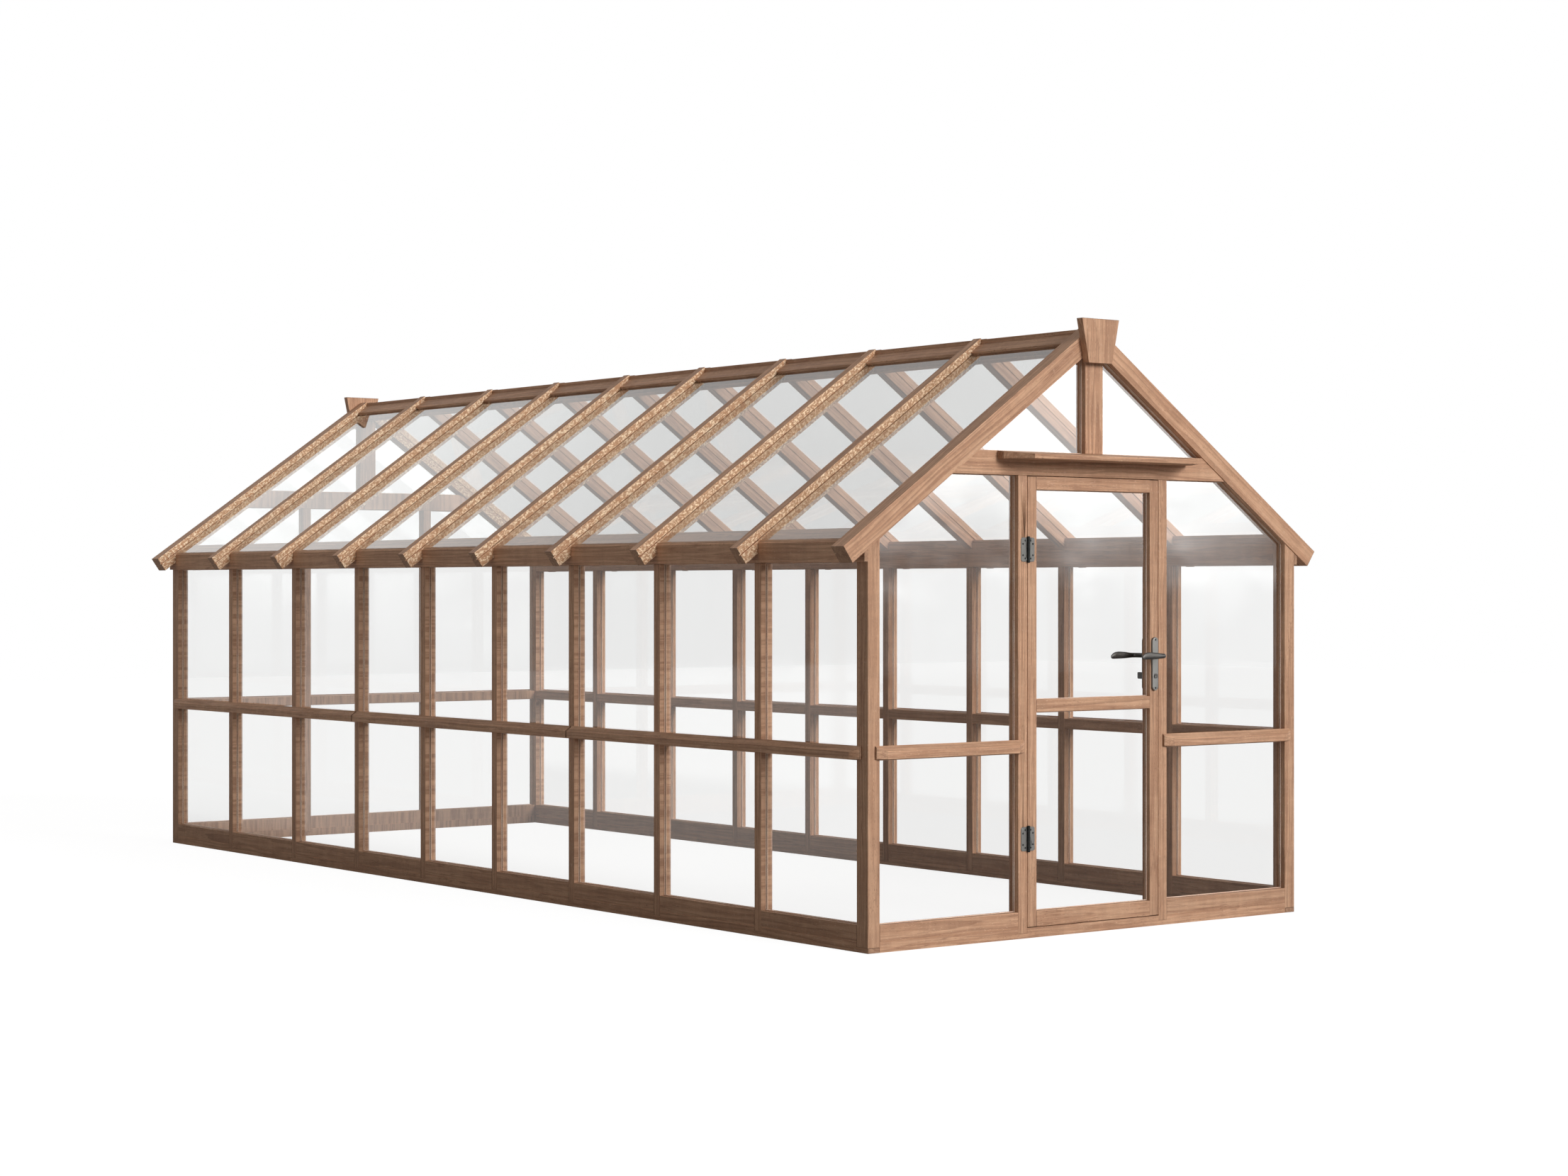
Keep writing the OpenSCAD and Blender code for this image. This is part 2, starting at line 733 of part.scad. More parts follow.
// Hinge parts, drawn at a pin that stands at the origin, with the leaf towards +x
hinge_zs = [low_hinge_z, top_hinge_z];
module hinge_leaf(first, last) {
    flat_y = pin_out - leaf_t;
    leaf_top = hinge_h - leaf_end;
    difference() {
        union() {
            block([leaf_start, flat_y, leaf_end], [leaf_reach - leaf_corner_r, pin_out, leaf_top]);
            block([leaf_start, flat_y, leaf_end + leaf_corner_r],
                  [leaf_reach, pin_out, leaf_top - leaf_corner_r]);
            for (z = [leaf_end + leaf_corner_r, leaf_top - leaf_corner_r])
                bar_y(leaf_reach - leaf_corner_r, z, leaf_corner_r, flat_y, pin_out);
            for (k = [first : 2 : last]) {
                z0 = k * (knuckle_h + knuckle_fit);
                z1 = z0 + knuckle_h;
                translate([0, 0, z0]) cylinder(r = knuckle_r, h = knuckle_h);
                block([0, flat_y, max(z0, leaf_end)], [leaf_start + past, pin_out, min(z1, leaf_top)]);
            }
        }
        translate([0, 0, -past]) cylinder(r = pin_r + running_fit, h = hinge_h + 2 * past);
        hinge_screws(running_fit);
    }
}
// The four screws of one leaf, in a slanting pair at each end; wider is the clearance round their holes
module hinge_screws(wider) {
    mid_x = (leaf_start + leaf_reach) / 2;
    y0 = pin_out - leaf_t;
    for (end = [0, 1], far = [0, 1]) {
        x = mid_x + (2 * far - 1) * leaf_screw_side;
        up = leaf_screw_end + far * leaf_screw_pair;
        z = end == 0 ? up : hinge_h - up;
        bar_y(x, z, screw_r + wider, y0, pin_out + screw_l);
        cone_y(x, z, screw_head_r + wider, screw_r + wider, y0, y0 + screw_head_t);
    }
}
module at_hinges()
    for (z = hinge_zs) translate([-hinge_x, -pin_out, z]) children();
module hinge_frame_leaves()
    color(grey_metal) on_front() at_hinges() mirror([1, 0, 0]) hinge_leaf(0, knuckles_n - 1);
module hinge_door_leaves()
    color(grey_metal) on_front() at_hinges() hinge_leaf(1, knuckles_n - 2);
module hinge_frame_screws()
    color(dark_metal) on_front() at_hinges() mirror([1, 0, 0]) hinge_screws(0);
module hinge_door_screws()
    color(dark_metal) on_front() at_hinges() hinge_screws(0);
module hinge_pins()
    color(dark_metal) on_front() at_hinges() {
        cylinder(r = pin_r, h = hinge_h);
        translate([0, 0, hinge_h]) cylinder(r = pin_head_r, h = pin_head_t);
        translate([0, 0, -pin_head_t]) cylinder(r = pin_head_r, h = pin_head_t);
    }

// The doorway
module jamb_half(side)
    difference() {
        timber(side < 0 ? -jamb_out : jamb_in, side < 0 ? -jamb_in : jamb_out, foot_z, tie_z);
        gable_panes(groove_d, groove_w, true);
    }
module door_jamb_left()
    color(pine) on_front() difference() {
        jamb_half(-1);
        at_hinges() mirror([1, 0, 0]) hinge_screws(running_fit);
    }
module bolt_windows(x0, x1) {
    side = 1 + slide_fit;
    for (b = [[lever_z, latch_h], [turn_z, bolt_h]])
        block([x0, bolt_y - side, b[0] - b[1] / 2 - side],
              [x1, bolt_y + bolt_t + side, b[0] + b[1] / 2 + side]);
}
module strike_shape()
    block([jamb_in, door_mid_y - strike_w / 2, case_foot],
          [jamb_in + strike_t, door_mid_y + strike_w / 2, case_top]);
module door_jamb_right()
    color(pine) on_front() difference() {
        jamb_half(1);
        strike_shape();
        bolt_windows(jamb_in - past, jamb_in + pocket_d);
    }
module strike_plate()
    color(grey_metal) on_front() difference() {
        strike_shape();
        bolt_windows(jamb_in - past, jamb_in + strike_t + past);
    }
module door_stops() {
    y0 = door_t + stop_gap;
    color(pine) on_front() {
        both_sides() block([-jamb_in, y0, sole_h], [-jamb_in + stop_w, wall_t, tie_z]);
        block([-jamb_in + stop_w + butt_gap, y0, tie_z - stop_w - door_gap],
              [jamb_in - stop_w - butt_gap, wall_t, tie_z]);
    }
}

// The door's two panes, or their grooves
module door_panes(edge, t) {
    for (z = [[door_foot + door_bottom_h, door_mid_z], [door_mid_top, door_top - door_top_h]])
        block([-door_rail_x - edge, door_mid_y - t / 2, z[0] - edge],
              [door_rail_x + edge, door_mid_y + t / 2, z[1] + edge]);
}
module lock_envelope() {
    block([case_x, door_mid_y - case_t / 2, case_foot],
          [door_x + past, door_mid_y + case_t / 2, case_top]);
    block([forend_x, door_mid_y - forend_w / 2, case_foot - forend_past],
          [door_x + past, door_mid_y + forend_w / 2, case_top + forend_past]);
}
module backplate_bolt(z, wider) {
    y0 = -backplate_t;
    y1 = door_t + backplate_t;
    bar_y(spindle_x, z, backplate_bolt_r + wider, y0, y1);
    cone_y(spindle_x, z, screw_head_r + wider, backplate_bolt_r + wider, y0, y0 + screw_head_t);
    cone_y(spindle_x, z, backplate_bolt_r + wider, screw_head_r + wider, y1 - screw_head_t, y1);
}
module both_backplate_bolts(wider)
    for (z = [backplate_z + backplate_bolt_in, backplate_z + backplate_h - backplate_bolt_in])
        backplate_bolt(z, wider);
module door_stiles()
    color(pine) on_front() difference() {
        both_sides() block([-door_x, 0, door_foot], [-door_rail_x, door_t, door_top]);
        door_panes(door_groove_d, groove_w);
        at_hinges() hinge_screws(running_fit);
        lock_envelope();
        both_backplate_bolts(running_fit);
        bar_y(spindle_x, lever_z, spindle_hole_r, -past, door_t + past);
        bar_y(spindle_x, turn_z, turn_hole_r, -past, door_t + past);
    }
module door_rails()
    color(pine) on_front() difference() {
        for (z = [[door_foot, door_foot + door_bottom_h], [door_mid_z, door_mid_top],
                  [door_top - door_top_h, door_top]])
            block([-door_rail_x, 0, z[0]], [door_rail_x, door_t, z[1]]);
        door_panes(door_groove_d, groove_w);
    }
module door_glass() color(clear_glass) on_front() door_panes(door_bite, glass_t);

// The lock, its levers and its thumb turn
module backplate(y0) {
    r = backplate_w / 2;
    difference() {
        union() {
            block([spindle_x - r, y0, backplate_z + r],
                  [spindle_x + r, y0 + backplate_t, backplate_z + backplate_h - r]);
            for (z = [backplate_z + r, backplate_z + backplate_h - r])
                bar_y(spindle_x, z, r, y0, y0 + backplate_t);
        }
        bar_y(spindle_x, lever_z, neck_r + running_fit, y0 - past, y0 + backplate_t + past);
        bar_y(spindle_x, turn_z, turn_stem_r + running_fit, y0 - past, y0 + backplate_t + past);
        both_backplate_bolts(running_fit);
    }
}
module backplates()
    color(grey_metal) on_front() {
        backplate(-backplate_t);
        backplate(door_t);
    }
module backplate_bolts() color(dark_metal) on_front() both_backplate_bolts(0);
module lock_case()
    color(grey_metal) on_front() difference() {
        intersection() {
            lock_envelope();
            block([case_x, 0, 0], [door_x, door_t, tie_z]);
        }
        block([case_x + case_wall, bolt_y - slide_fit, case_foot + case_wall],
              [forend_x, bolt_y + bolt_t + slide_fit, case_top - case_wall]);
        for (b = [[lever_z, latch_h], [turn_z, bolt_h]])
            block([forend_x - past, bolt_y - slide_fit, b[0] - b[1] / 2 - slide_fit],
                  [door_x + past, bolt_y + bolt_t + slide_fit, b[0] + b[1] / 2 + slide_fit]);
        bar_y(spindle_x, lever_z, follower_r, 0, door_t);
        bar_y(spindle_x, turn_z, crank_journal_r, 0, door_t);
    }
// A lever for the outer face: a round neck and bend, and an arm that widens to a paddle with a low tip
module lever_boss(x, z, r, half_t) {
    bar_y(x, z, r, -lever_out - half_t + lever_soft, -lever_out + half_t - lever_soft, $fn = 32);
    bar_y(x, z, r - lever_soft, -lever_out - half_t, -lever_out + half_t, $fn = 32);
}
module lever() {
    tip_r = lever_tip_h / 2;
    tip_x = spindle_x - lever_l + tip_r;
    paddle_x = spindle_x - lever_l + paddle_in;
    bend_x = spindle_x - lever_bend_r;
    difference() {
        union() {
            bar_y(spindle_x, lever_z, neck_r, -neck_end, -backplate_t + neck_in);
            translate([bend_x, -neck_end, lever_z]) rotate([0, 0, -90])
                rotate_extrude(angle = 90) translate([lever_bend_r, 0]) circle(r = neck_r);
            hull() {
                translate([bend_x, -lever_out, lever_z]) rotate([0, 90, 0])
                    cylinder(r = neck_r - lever_root_in, h = past);
                lever_boss(paddle_x, lever_z + lever_rise, lever_h / 2, lever_t / 2);
            }
            hull() {
                lever_boss(paddle_x, lever_z + lever_rise, lever_h / 2, lever_t / 2);
                lever_boss(tip_x, lever_z - lever_droop, tip_r, lever_t / 2 - lever_thin);
            }
        }
        square_bar(lever_z, spindle_w / 2 + spindle_fit, -spindle_end, 0);
    }
}
module levers()
    color(dark_metal) on_front() {
        lever();
        translate([0, door_t, 0]) mirror([0, 1, 0]) lever();
    }
// The square spindle between the levers, and the follower that it turns in the lock
module square_bar(z, half, y0, y1)
    block([spindle_x - half, y0, z - half], [spindle_x + half, y1, z + half]);
module journal(z, r)
    bar_y(spindle_x, z, r - running_fit, door_mid_y - case_t / 2, door_mid_y + case_t / 2);
module spindle()
    color(dark_metal) on_front() {
        square_bar(lever_z, spindle_w / 2, -spindle_end, door_t + spindle_end);
        difference() {
            union() {
                journal(lever_z, follower_r);
                translate([spindle_x, bolt_y, lever_z]) rotate([0, finger_lean, 0])
                    translate([-finger_w / 2, 0, 0]) cube([finger_w, bolt_t, finger_l]);
            }
            square_bar(lever_z, spindle_w / 2 + spindle_fit, 0, door_t);
        }
    }
module latch_bolt() {
    head_x = forend_x - forend_t;
    tip_x = door_x + latch_throw;
    y1 = bolt_y + bolt_t;
    head_top = lever_z + latch_h / 2;
    arm_top = latch_arm_z + latch_arm_h;
    tab_x = spindle_x - latch_tab_w / 2 - latch_tab_fit;
    color(dark_metal) on_front() {
        translate([0, 0, lever_z - latch_h / 2])
            linear_extrude(height = latch_h)
                polygon([
                    [head_x, bolt_y], [tip_x, bolt_y], [tip_x, bolt_y + latch_nose],
                    [tip_x - latch_bevel, y1], [head_x, y1]
                ]);
        block([head_x - latch_arm_h, bolt_y, head_top], [forend_x - slide_fit, y1, arm_top]);
        block([tab_x, bolt_y, latch_arm_z], [forend_x - slide_fit, y1, arm_top]);
        block([tab_x, bolt_y, latch_arm_z - latch_arm_h], [tab_x + latch_tab_w, y1, arm_top]);
    }
}
// The snib's wing, with rounded corners
module snib_wing(y0, y1)
    along_x(spindle_x - snib_w / 2, spindle_x + snib_w / 2) {
        side = snib_h / 2 - snib_round;
        for (y = [y0 + snib_round, y1 - snib_round], z = [turn_z - side, turn_z + side])
            translate([y, z]) circle(r = snib_round);
        translate([y0 + snib_round, turn_z - snib_h / 2]) square([y1 - y0 - 2 * snib_round, snib_h]);
        translate([y0, turn_z - side]) square([y1 - y0, 2 * side]);
    }
// The coin disc outside and the snib inside share one square bar, which turns the crank in the lock
module thumb_turn() {
    out_y = -backplate_t - slide_fit;
    disc_y = out_y - turn_disc_t;
    in_y = door_t + backplate_t + slide_fit;
    wing_y = in_y + turn_disc_t + snib_neck;
    color(dark_metal) on_front() {
        difference() {
            union() {
                bar_y(spindle_x, turn_z, turn_disc_r, disc_y, out_y);
                bar_y(spindle_x, turn_z, turn_stem_r, out_y, -turn_stem_in);
            }
            block([spindle_x - coin_slot_l / 2, disc_y - past, turn_z - coin_slot_w / 2],
                  [spindle_x + coin_slot_l / 2, disc_y + coin_slot_d, turn_z + coin_slot_w / 2]);
        }
        square_bar(turn_z, turn_spindle_w / 2, -turn_stem_in, door_t + turn_stem_in);
        bar_y(spindle_x, turn_z, turn_stem_r, door_t + turn_stem_in, in_y);
        bar_y(spindle_x, turn_z, turn_disc_r, in_y, in_y + turn_disc_t);
        bar_y(spindle_x, turn_z, turn_stem_r, in_y, wing_y + past);
        snib_wing(wing_y, in_y + turn_disc_t + snib_out);
        difference() {
            union() {
                journal(turn_z, crank_journal_r);
                translate([spindle_x, bolt_y, turn_z]) rotate([0, -crank_lean, 0]) {
                    block([-crank_w / 2, crank_plate_t + slide_fit, 0],
                          [crank_w / 2, bolt_t, crank_l + crank_w / 2]);
                    bar_y(0, crank_l, crank_pin_r, 0, crank_plate_t + slide_fit + past);
                }
            }
            square_bar(turn_z, turn_spindle_w / 2 + spindle_fit, 0, door_t);
        }
    }
}
module dead_bolt() {
    y1 = bolt_y + bolt_t;
    head_x = spindle_x + crank_journal_r + past;
    plate_z = turn_z + crank_journal_r + slide_fit;
    slot_x = spindle_x - crank_l * sin(crank_lean);
    slot_half = crank_pin_r + crank_slot_side;
    slot_top = turn_z + crank_l + crank_pin_r + slide_fit;
    color(dark_metal) on_front() difference() {
        union() {
            block([head_x, bolt_y, turn_z - bolt_h / 2], [door_x - slide_fit, y1, turn_z + bolt_h / 2]);
            block([slot_x - slot_half - crank_plate_w, bolt_y, plate_z],
                  [head_x + past, bolt_y + crank_plate_t, turn_z + bolt_h / 2]);
        }
        block([slot_x - slot_half, bolt_y - past, plate_z - past],
              [slot_x + slot_half, bolt_y + crank_plate_t + past, slot_top]);
    }
}

sole_plate_front();
sole_plate_rear();
sole_plate_left();
sole_plate_right();
corner_posts_front();
corner_posts_rear();
studs_left();
studs_right();
rear_studs();
bottom_rails_front();
bottom_rails_rear();
bottom_rails_left();
bottom_rails_right();
noggings_front();
noggings_rear();
noggings_left();
noggings_right();
cover_rails_front();
cover_rails_rear();
cover_rails_left();
cover_rails_right();
eaves_plate_left();
eaves_plate_right();
rafters_left();
rafters_right();
gable_rafters_front();
gable_rafters_rear();
ridge_board();
ridge_beads();
tie_beam_front();
tie_beam_rear();
king_posts();
finials();
drip_hood();
glass_front();
glass_rear();
glass_left();
glass_right();
roof_glass_left();
roof_glass_right();
door_jamb_left();
door_jamb_right();
door_stops();
strike_plate();
hinge_frame_leaves();
hinge_pins();
hinge_frame_screws();
door_stiles();
door_rails();
door_glass();
hinge_door_leaves();
hinge_door_screws();
backplates();
backplate_bolts();
lock_case();
levers();
spindle();
latch_bolt();
thumb_turn();
dead_bolt();
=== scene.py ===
# %% [markdown]
# # A timber greenhouse
# This lesson dresses a long softwood greenhouse. Its boards, panes and hinges are already made at their real
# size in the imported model, so the script loads that model first and then gives each piece its finish.
# The door gable faces -Y, the ridge runs along Y, +Z is up, and one unit is a metre.

# %% Load the frame
import json
import math

import bmesh
import bpy
import numpy as np
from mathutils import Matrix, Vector

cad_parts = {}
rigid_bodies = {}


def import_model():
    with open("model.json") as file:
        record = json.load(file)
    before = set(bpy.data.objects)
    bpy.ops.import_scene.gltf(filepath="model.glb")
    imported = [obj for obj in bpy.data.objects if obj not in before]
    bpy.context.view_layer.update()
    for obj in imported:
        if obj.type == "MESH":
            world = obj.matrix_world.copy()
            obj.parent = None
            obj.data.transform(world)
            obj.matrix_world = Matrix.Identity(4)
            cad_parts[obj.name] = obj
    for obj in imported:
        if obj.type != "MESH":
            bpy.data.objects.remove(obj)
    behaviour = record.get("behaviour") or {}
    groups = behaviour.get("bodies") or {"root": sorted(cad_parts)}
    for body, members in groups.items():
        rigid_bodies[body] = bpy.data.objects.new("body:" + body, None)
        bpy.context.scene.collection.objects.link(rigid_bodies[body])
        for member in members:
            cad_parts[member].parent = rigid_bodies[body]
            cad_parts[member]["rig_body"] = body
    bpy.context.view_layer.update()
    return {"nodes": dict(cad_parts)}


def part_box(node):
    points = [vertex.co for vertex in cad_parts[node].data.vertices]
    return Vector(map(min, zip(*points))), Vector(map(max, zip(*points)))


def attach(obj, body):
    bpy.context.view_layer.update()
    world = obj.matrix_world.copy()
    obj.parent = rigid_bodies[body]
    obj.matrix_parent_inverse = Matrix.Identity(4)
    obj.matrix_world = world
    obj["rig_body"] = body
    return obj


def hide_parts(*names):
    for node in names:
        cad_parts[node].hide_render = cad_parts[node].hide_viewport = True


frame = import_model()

MM = 0.001
print("nodes in the frame:", len(frame["nodes"]))

# %% [markdown]
# ## Where the photographer stands
# The uprights are parallel in the picture, so the camera looks level, from a little over a child's height.
# It stands well off the front left corner with a short telephoto lens, which keeps the far bays from
# shrinking too fast. The lens is given for a sensor 36 mm wide.

# %% Camera
CAMERA_PLACE = (-8.2144, -11.665, 1.4166)
CAMERA_TURN = math.radians(37.37)
LENS_MM = 66.05
SENSOR_MM = 36.0
CLIP_END = 200.0

camera_data = bpy.data.cameras.new("camera")
camera_data.lens = LENS_MM
camera_data.sensor_width = SENSOR_MM
camera_data.clip_end = CLIP_END
camera = bpy.data.objects.new("camera", camera_data)
camera.location = CAMERA_PLACE
camera.rotation_euler = (math.radians(90), 0.0, -CAMERA_TURN)
bpy.context.scene.collection.objects.link(camera)
bpy.context.scene.camera = camera
print("camera is", round(Vector(CAMERA_PLACE).length, 2), "m from the middle of the house")

# %% [markdown]
# ## Light
# One broad, soft sun comes in low from in front of the door gable, so the gable is bright and the long side
# is in its own shade. A weak world light, a little stronger from above, fills the shade. The background must
# look pure white to the camera, but it must not light the timber: a Light Path node keeps the two apart.

# %% Sun
SUN_TRAVEL = Vector((-0.2, 1.0, -0.345))
SUN_STRENGTH = 2.36
SUN_ANGLE = math.radians(24)

sun_data = bpy.data.lights.new("sun", "SUN")
sun_data.energy = SUN_STRENGTH
sun_data.angle = SUN_ANGLE
sun = bpy.data.objects.new("sun", sun_data)
sun.rotation_mode = "QUATERNION"
sun.rotation_quaternion = SUN_TRAVEL.to_track_quat("-Z", "Y")
bpy.context.scene.collection.objects.link(sun)
bpy.context.scene.view_settings.view_transform = "Standard"
print("sun strength", SUN_STRENGTH)

# %% [markdown]
# Shader trees are easier to read when one line makes a node, sets its fields and joins its inputs. These
# small helpers do that for the sky, the floor, the wood, the glass and the metal, and for Geometry Nodes too.

# %% Small helpers for nodes
def put(tree, kind, values=None, **settings):
    """Adds a node, sets its fields, and sets its inputs by name or number."""
    node = tree.nodes.new(kind)
    for key, value in settings.items():
        setattr(node, key, value)
    for key, value in (values or {}).items():
        if hasattr(value, "is_output"):
            tree.links.new(value, node.inputs[key])
        else:
            node.inputs[key].default_value = value
    return node


def number(tree, operation, a, b=0.0):
    """A Math node's result."""
    return put(tree, "ShaderNodeMath", {0: a, 1: b}, operation=operation).outputs[0]


def scaled(tree, vector, by):
    """A vector times another, part by part."""
    return put(tree, "ShaderNodeVectorMath", {0: vector, 1: by}, operation="MULTIPLY").outputs[0]


def noise(tree, vector, detail=3.0, roughness=0.55, **extra):
    """A noise value of about 0 to 1 at a scale of 1."""
    values = {"Vector": vector, "Scale": 1.0, "Detail": detail, "Roughness": roughness, **extra}
    return put(tree, "ShaderNodeTexNoise", values, noise_dimensions="3D").outputs["Fac"]


def between(tree, value, low, high, out_low=0.0, out_high=1.0):
    """A value stretched smoothly from one range to another."""
    values = {"Value": value, "From Min": low, "From Max": high, "To Min": out_low, "To Max": out_high}
    return put(tree, "ShaderNodeMapRange", values, interpolation_type="SMOOTHSTEP").outputs["Result"]


def mixed(tree, share, a, b, blend="MIX"):
    """A colour mixed from two."""
    node = put(tree, "ShaderNodeMix", data_type="RGBA", blend_type=blend)
    for socket, value in ((node.inputs[0], share), (node.inputs[6], a), (node.inputs[7], b)):
        if hasattr(value, "is_output"):
            tree.links.new(value, socket)
        else:
            socket.default_value = value
    return node.outputs[2]


def emptied_tree(owner):
    """The node tree of a material or a world, with nothing in it."""
    owner.use_nodes = True
    owner.node_tree.nodes.clear()
    return owner.node_tree


def new_material(name):
    """A new material, with its tree and its Principled shader joined to the output."""
    material = bpy.data.materials.new(name)
    tree = emptied_tree(material)
    surface = put(tree, "ShaderNodeBsdfPrincipled")
    output = put(tree, "ShaderNodeOutputMaterial")
    tree.links.new(surface.outputs[0], output.inputs["Surface"])
    return material, tree, surface


def rays_that_see(tree):
    """1 for rays from the camera, a mirror or a pane, and 0 for rays that gather light."""
    path = put(tree, "ShaderNodeLightPath").outputs
    seen = number(tree, "MAXIMUM", path["Is Camera Ray"], path["Is Glossy Ray"])
    return number(tree, "MAXIMUM", seen, path["Is Transmission Ray"])


# %% [markdown]
# ## What the panes mirror
# Real panes mirror the yard round the house, and a bare white world would veil them all alike. So a glossy
# ray sees a third world. In front of the door gable there is a bright, cloudy glow above eye level, a haze
# under it and dimness at the foot, so the upper panes are veiled in white and the lower ones are clear.
# Behind the house it is a soft mid grey, brighter where the far end of the roof mirrors it. The pairs of
# values are heights or bearings on a sphere of one unit, and one look fades into the next between them.

# %% Sky
SKY_FILL = 0.18
SKY_TOP = 0.30
FRONT_GLOW = 4.4
FRONT_HIGH = 0.4
FRONT_HAZE = 0.6
FRONT_DIM = 0.12
REAR_LEFT = 0.35
REAR_RIGHT = 0.72
REAR_FAR = 0.5
CLOUD_LIFT = 0.11
CLOUD_SCALE = (30.0, 30.0, 60.0)
HAZE_RISE = (-0.1, 0.0)
GLOW_RISE = (-0.012, 0.045)
GLOW_FALL = (0.1, 0.25)
FAR_END_FOOT = (0.1, 0.3)
FAR_END_TOP = (0.54, 0.42)
REAR_SPAN = (-0.62, -0.40)
FRONT_TO_REAR = (-0.2, 0.2)

world = bpy.data.worlds.new("sky")
bpy.context.scene.world = world
sky = emptied_tree(world)
way = put(sky, "ShaderNodeTexCoord").outputs["Generated"]
way_parts = put(sky, "ShaderNodeSeparateXYZ", {0: way}).outputs
even = between(sky, way_parts["Z"], -0.2, 1.0, SKY_FILL, SKY_TOP)
fill = put(sky, "ShaderNodeBackground", {"Color": (1.0, 0.98, 0.96, 1), "Strength": even})

clouds = noise(sky, scaled(sky, way, CLOUD_SCALE), 3.0)
lift = number(sky, "MULTIPLY", number(sky, "SUBTRACT", clouds, 0.5), CLOUD_LIFT)
height = number(sky, "ADD", way_parts["Z"], lift)
front = number(sky, "ADD", between(sky, height, *HAZE_RISE, FRONT_DIM, FRONT_HAZE),
               between(sky, height, *GLOW_RISE, 0.0, FRONT_GLOW - FRONT_HAZE))
front = number(sky, "MULTIPLY", front, between(sky, way_parts["Z"], *GLOW_FALL, 1.0, FRONT_HIGH / FRONT_GLOW))
far_end = number(sky, "MULTIPLY", between(sky, way_parts["Z"], *FAR_END_TOP),
                 between(sky, way_parts["Z"], *FAR_END_FOOT))
rear = number(sky, "ADD", between(sky, way_parts["X"], *REAR_SPAN, REAR_LEFT, REAR_RIGHT),
              number(sky, "MULTIPLY", far_end, REAR_FAR))
is_rear = between(sky, way_parts["Y"], *FRONT_TO_REAR)
room = put(sky, "ShaderNodeMix", {0: is_rear, 2: front, 3: rear}).outputs[0]
is_mirror = put(sky, "ShaderNodeLightPath").outputs["Is Glossy Ray"]
level = put(sky, "ShaderNodeMix", {0: is_mirror, 2: 1.0, 3: room}).outputs[0]
white = put(sky, "ShaderNodeBackground", {"Color": (1, 1, 1, 1), "Strength": level})

sky_mix = put(sky, "ShaderNodeMixShader", {0: rays_that_see(sky), 1: fill.outputs[0], 2: white.outputs[0]})
put(sky, "ShaderNodeOutputWorld", {"Surface": sky_mix.outputs[0]})
print("sky fill", SKY_FILL, "and", len(sky.nodes), "nodes")

# %% [markdown]
# ## The floor
# The house stands on a plain white floor that runs out of sight. It throws light back up as a mid grey
# does. What the camera sees is a darker grey with a white glow added, which makes white in the open, so the
# floor melts into the background and still shows a faint shadow of the house. The panes of the door gable
# mirror it without that glow, and the long left side mirrors a lighter floor beyond it.

# %% Floor
FLOOR_SIZE = 60.0
FLOOR_GREY = 0.42
FLOOR_SEEN = 0.16
FLOOR_GLOW = 0.94
LEFT_GLOW = 0.6
LEFT_SIDE = (-1.3, -2.5)
LEFT_LENGTH = (-3.0, 1.0)

floor_mesh = bpy.data.meshes.new("floor")
half_floor = FLOOR_SIZE / 2
floor_mesh.from_pydata(
    [(-half_floor, -half_floor, 0), (half_floor, -half_floor, 0),
     (half_floor, half_floor, 0), (-half_floor, half_floor, 0)],
    [], [(0, 1, 2, 3)],
)
floor = bpy.data.objects.new("floor", floor_mesh)
bpy.context.scene.collection.objects.link(floor)
floor_material = bpy.data.materials.new("floor_white")
paint = emptied_tree(floor_material)
mirrored = put(paint, "ShaderNodeLightPath").outputs["Is Glossy Ray"]
in_view = number(paint, "SUBTRACT", rays_that_see(paint), mirrored)
shade = mixed(paint, in_view, (FLOOR_GREY,) * 3 + (1,), (FLOOR_SEEN,) * 3 + (1,))
matt = put(paint, "ShaderNodeBsdfDiffuse", {"Color": shade})
spot = put(paint, "ShaderNodeSeparateXYZ", {0: put(paint, "ShaderNodeTexCoord").outputs["Object"]}).outputs
on_left = number(paint, "MULTIPLY", between(paint, spot["X"], *LEFT_SIDE),
                 between(paint, spot["Y"], *LEFT_LENGTH))
left_mirrored = number(paint, "MULTIPLY", mirrored, on_left)
glow_level = number(paint, "ADD", number(paint, "MULTIPLY", in_view, FLOOR_GLOW),
                    number(paint, "MULTIPLY", left_mirrored, LEFT_GLOW))
glow = put(paint, "ShaderNodeEmission", {"Strength": glow_level})
both = put(paint, "ShaderNodeAddShader", {0: matt.outputs[0], 1: glow.outputs[0]})
put(paint, "ShaderNodeOutputMaterial", {"Surface": both.outputs[0]})
floor_mesh.materials.append(floor_material)
print("floor", FLOOR_SIZE, "m square")

# %% [markdown]
# ## Boards as a joiner sees them
# Every timber is a board cut along the grain, with its edges planed back by a millimetre or two so that they
# don't splinter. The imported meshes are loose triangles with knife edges, and they stay as they are.
# A copy is merged, its flat faces are joined, and its long edges get a narrow bevel.

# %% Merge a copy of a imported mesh
MERGE = 1e-5
FLAT = math.radians(0.5)
SHARP = math.radians(20)
ARRIS = 1.6 * MM
SHORTEST_ARRIS = 12 * MM


def merged_copy(node):
    """The node's solids as closed surfaces, with each flat face whole again."""
    bm = bmesh.new()
    bm.from_mesh(frame["nodes"][node].data)
    bmesh.ops.remove_doubles(bm, verts=bm.verts, dist=MERGE)
    bmesh.ops.dissolve_limit(bm, angle_limit=FLAT, verts=bm.verts, edges=bm.edges)
    return bm


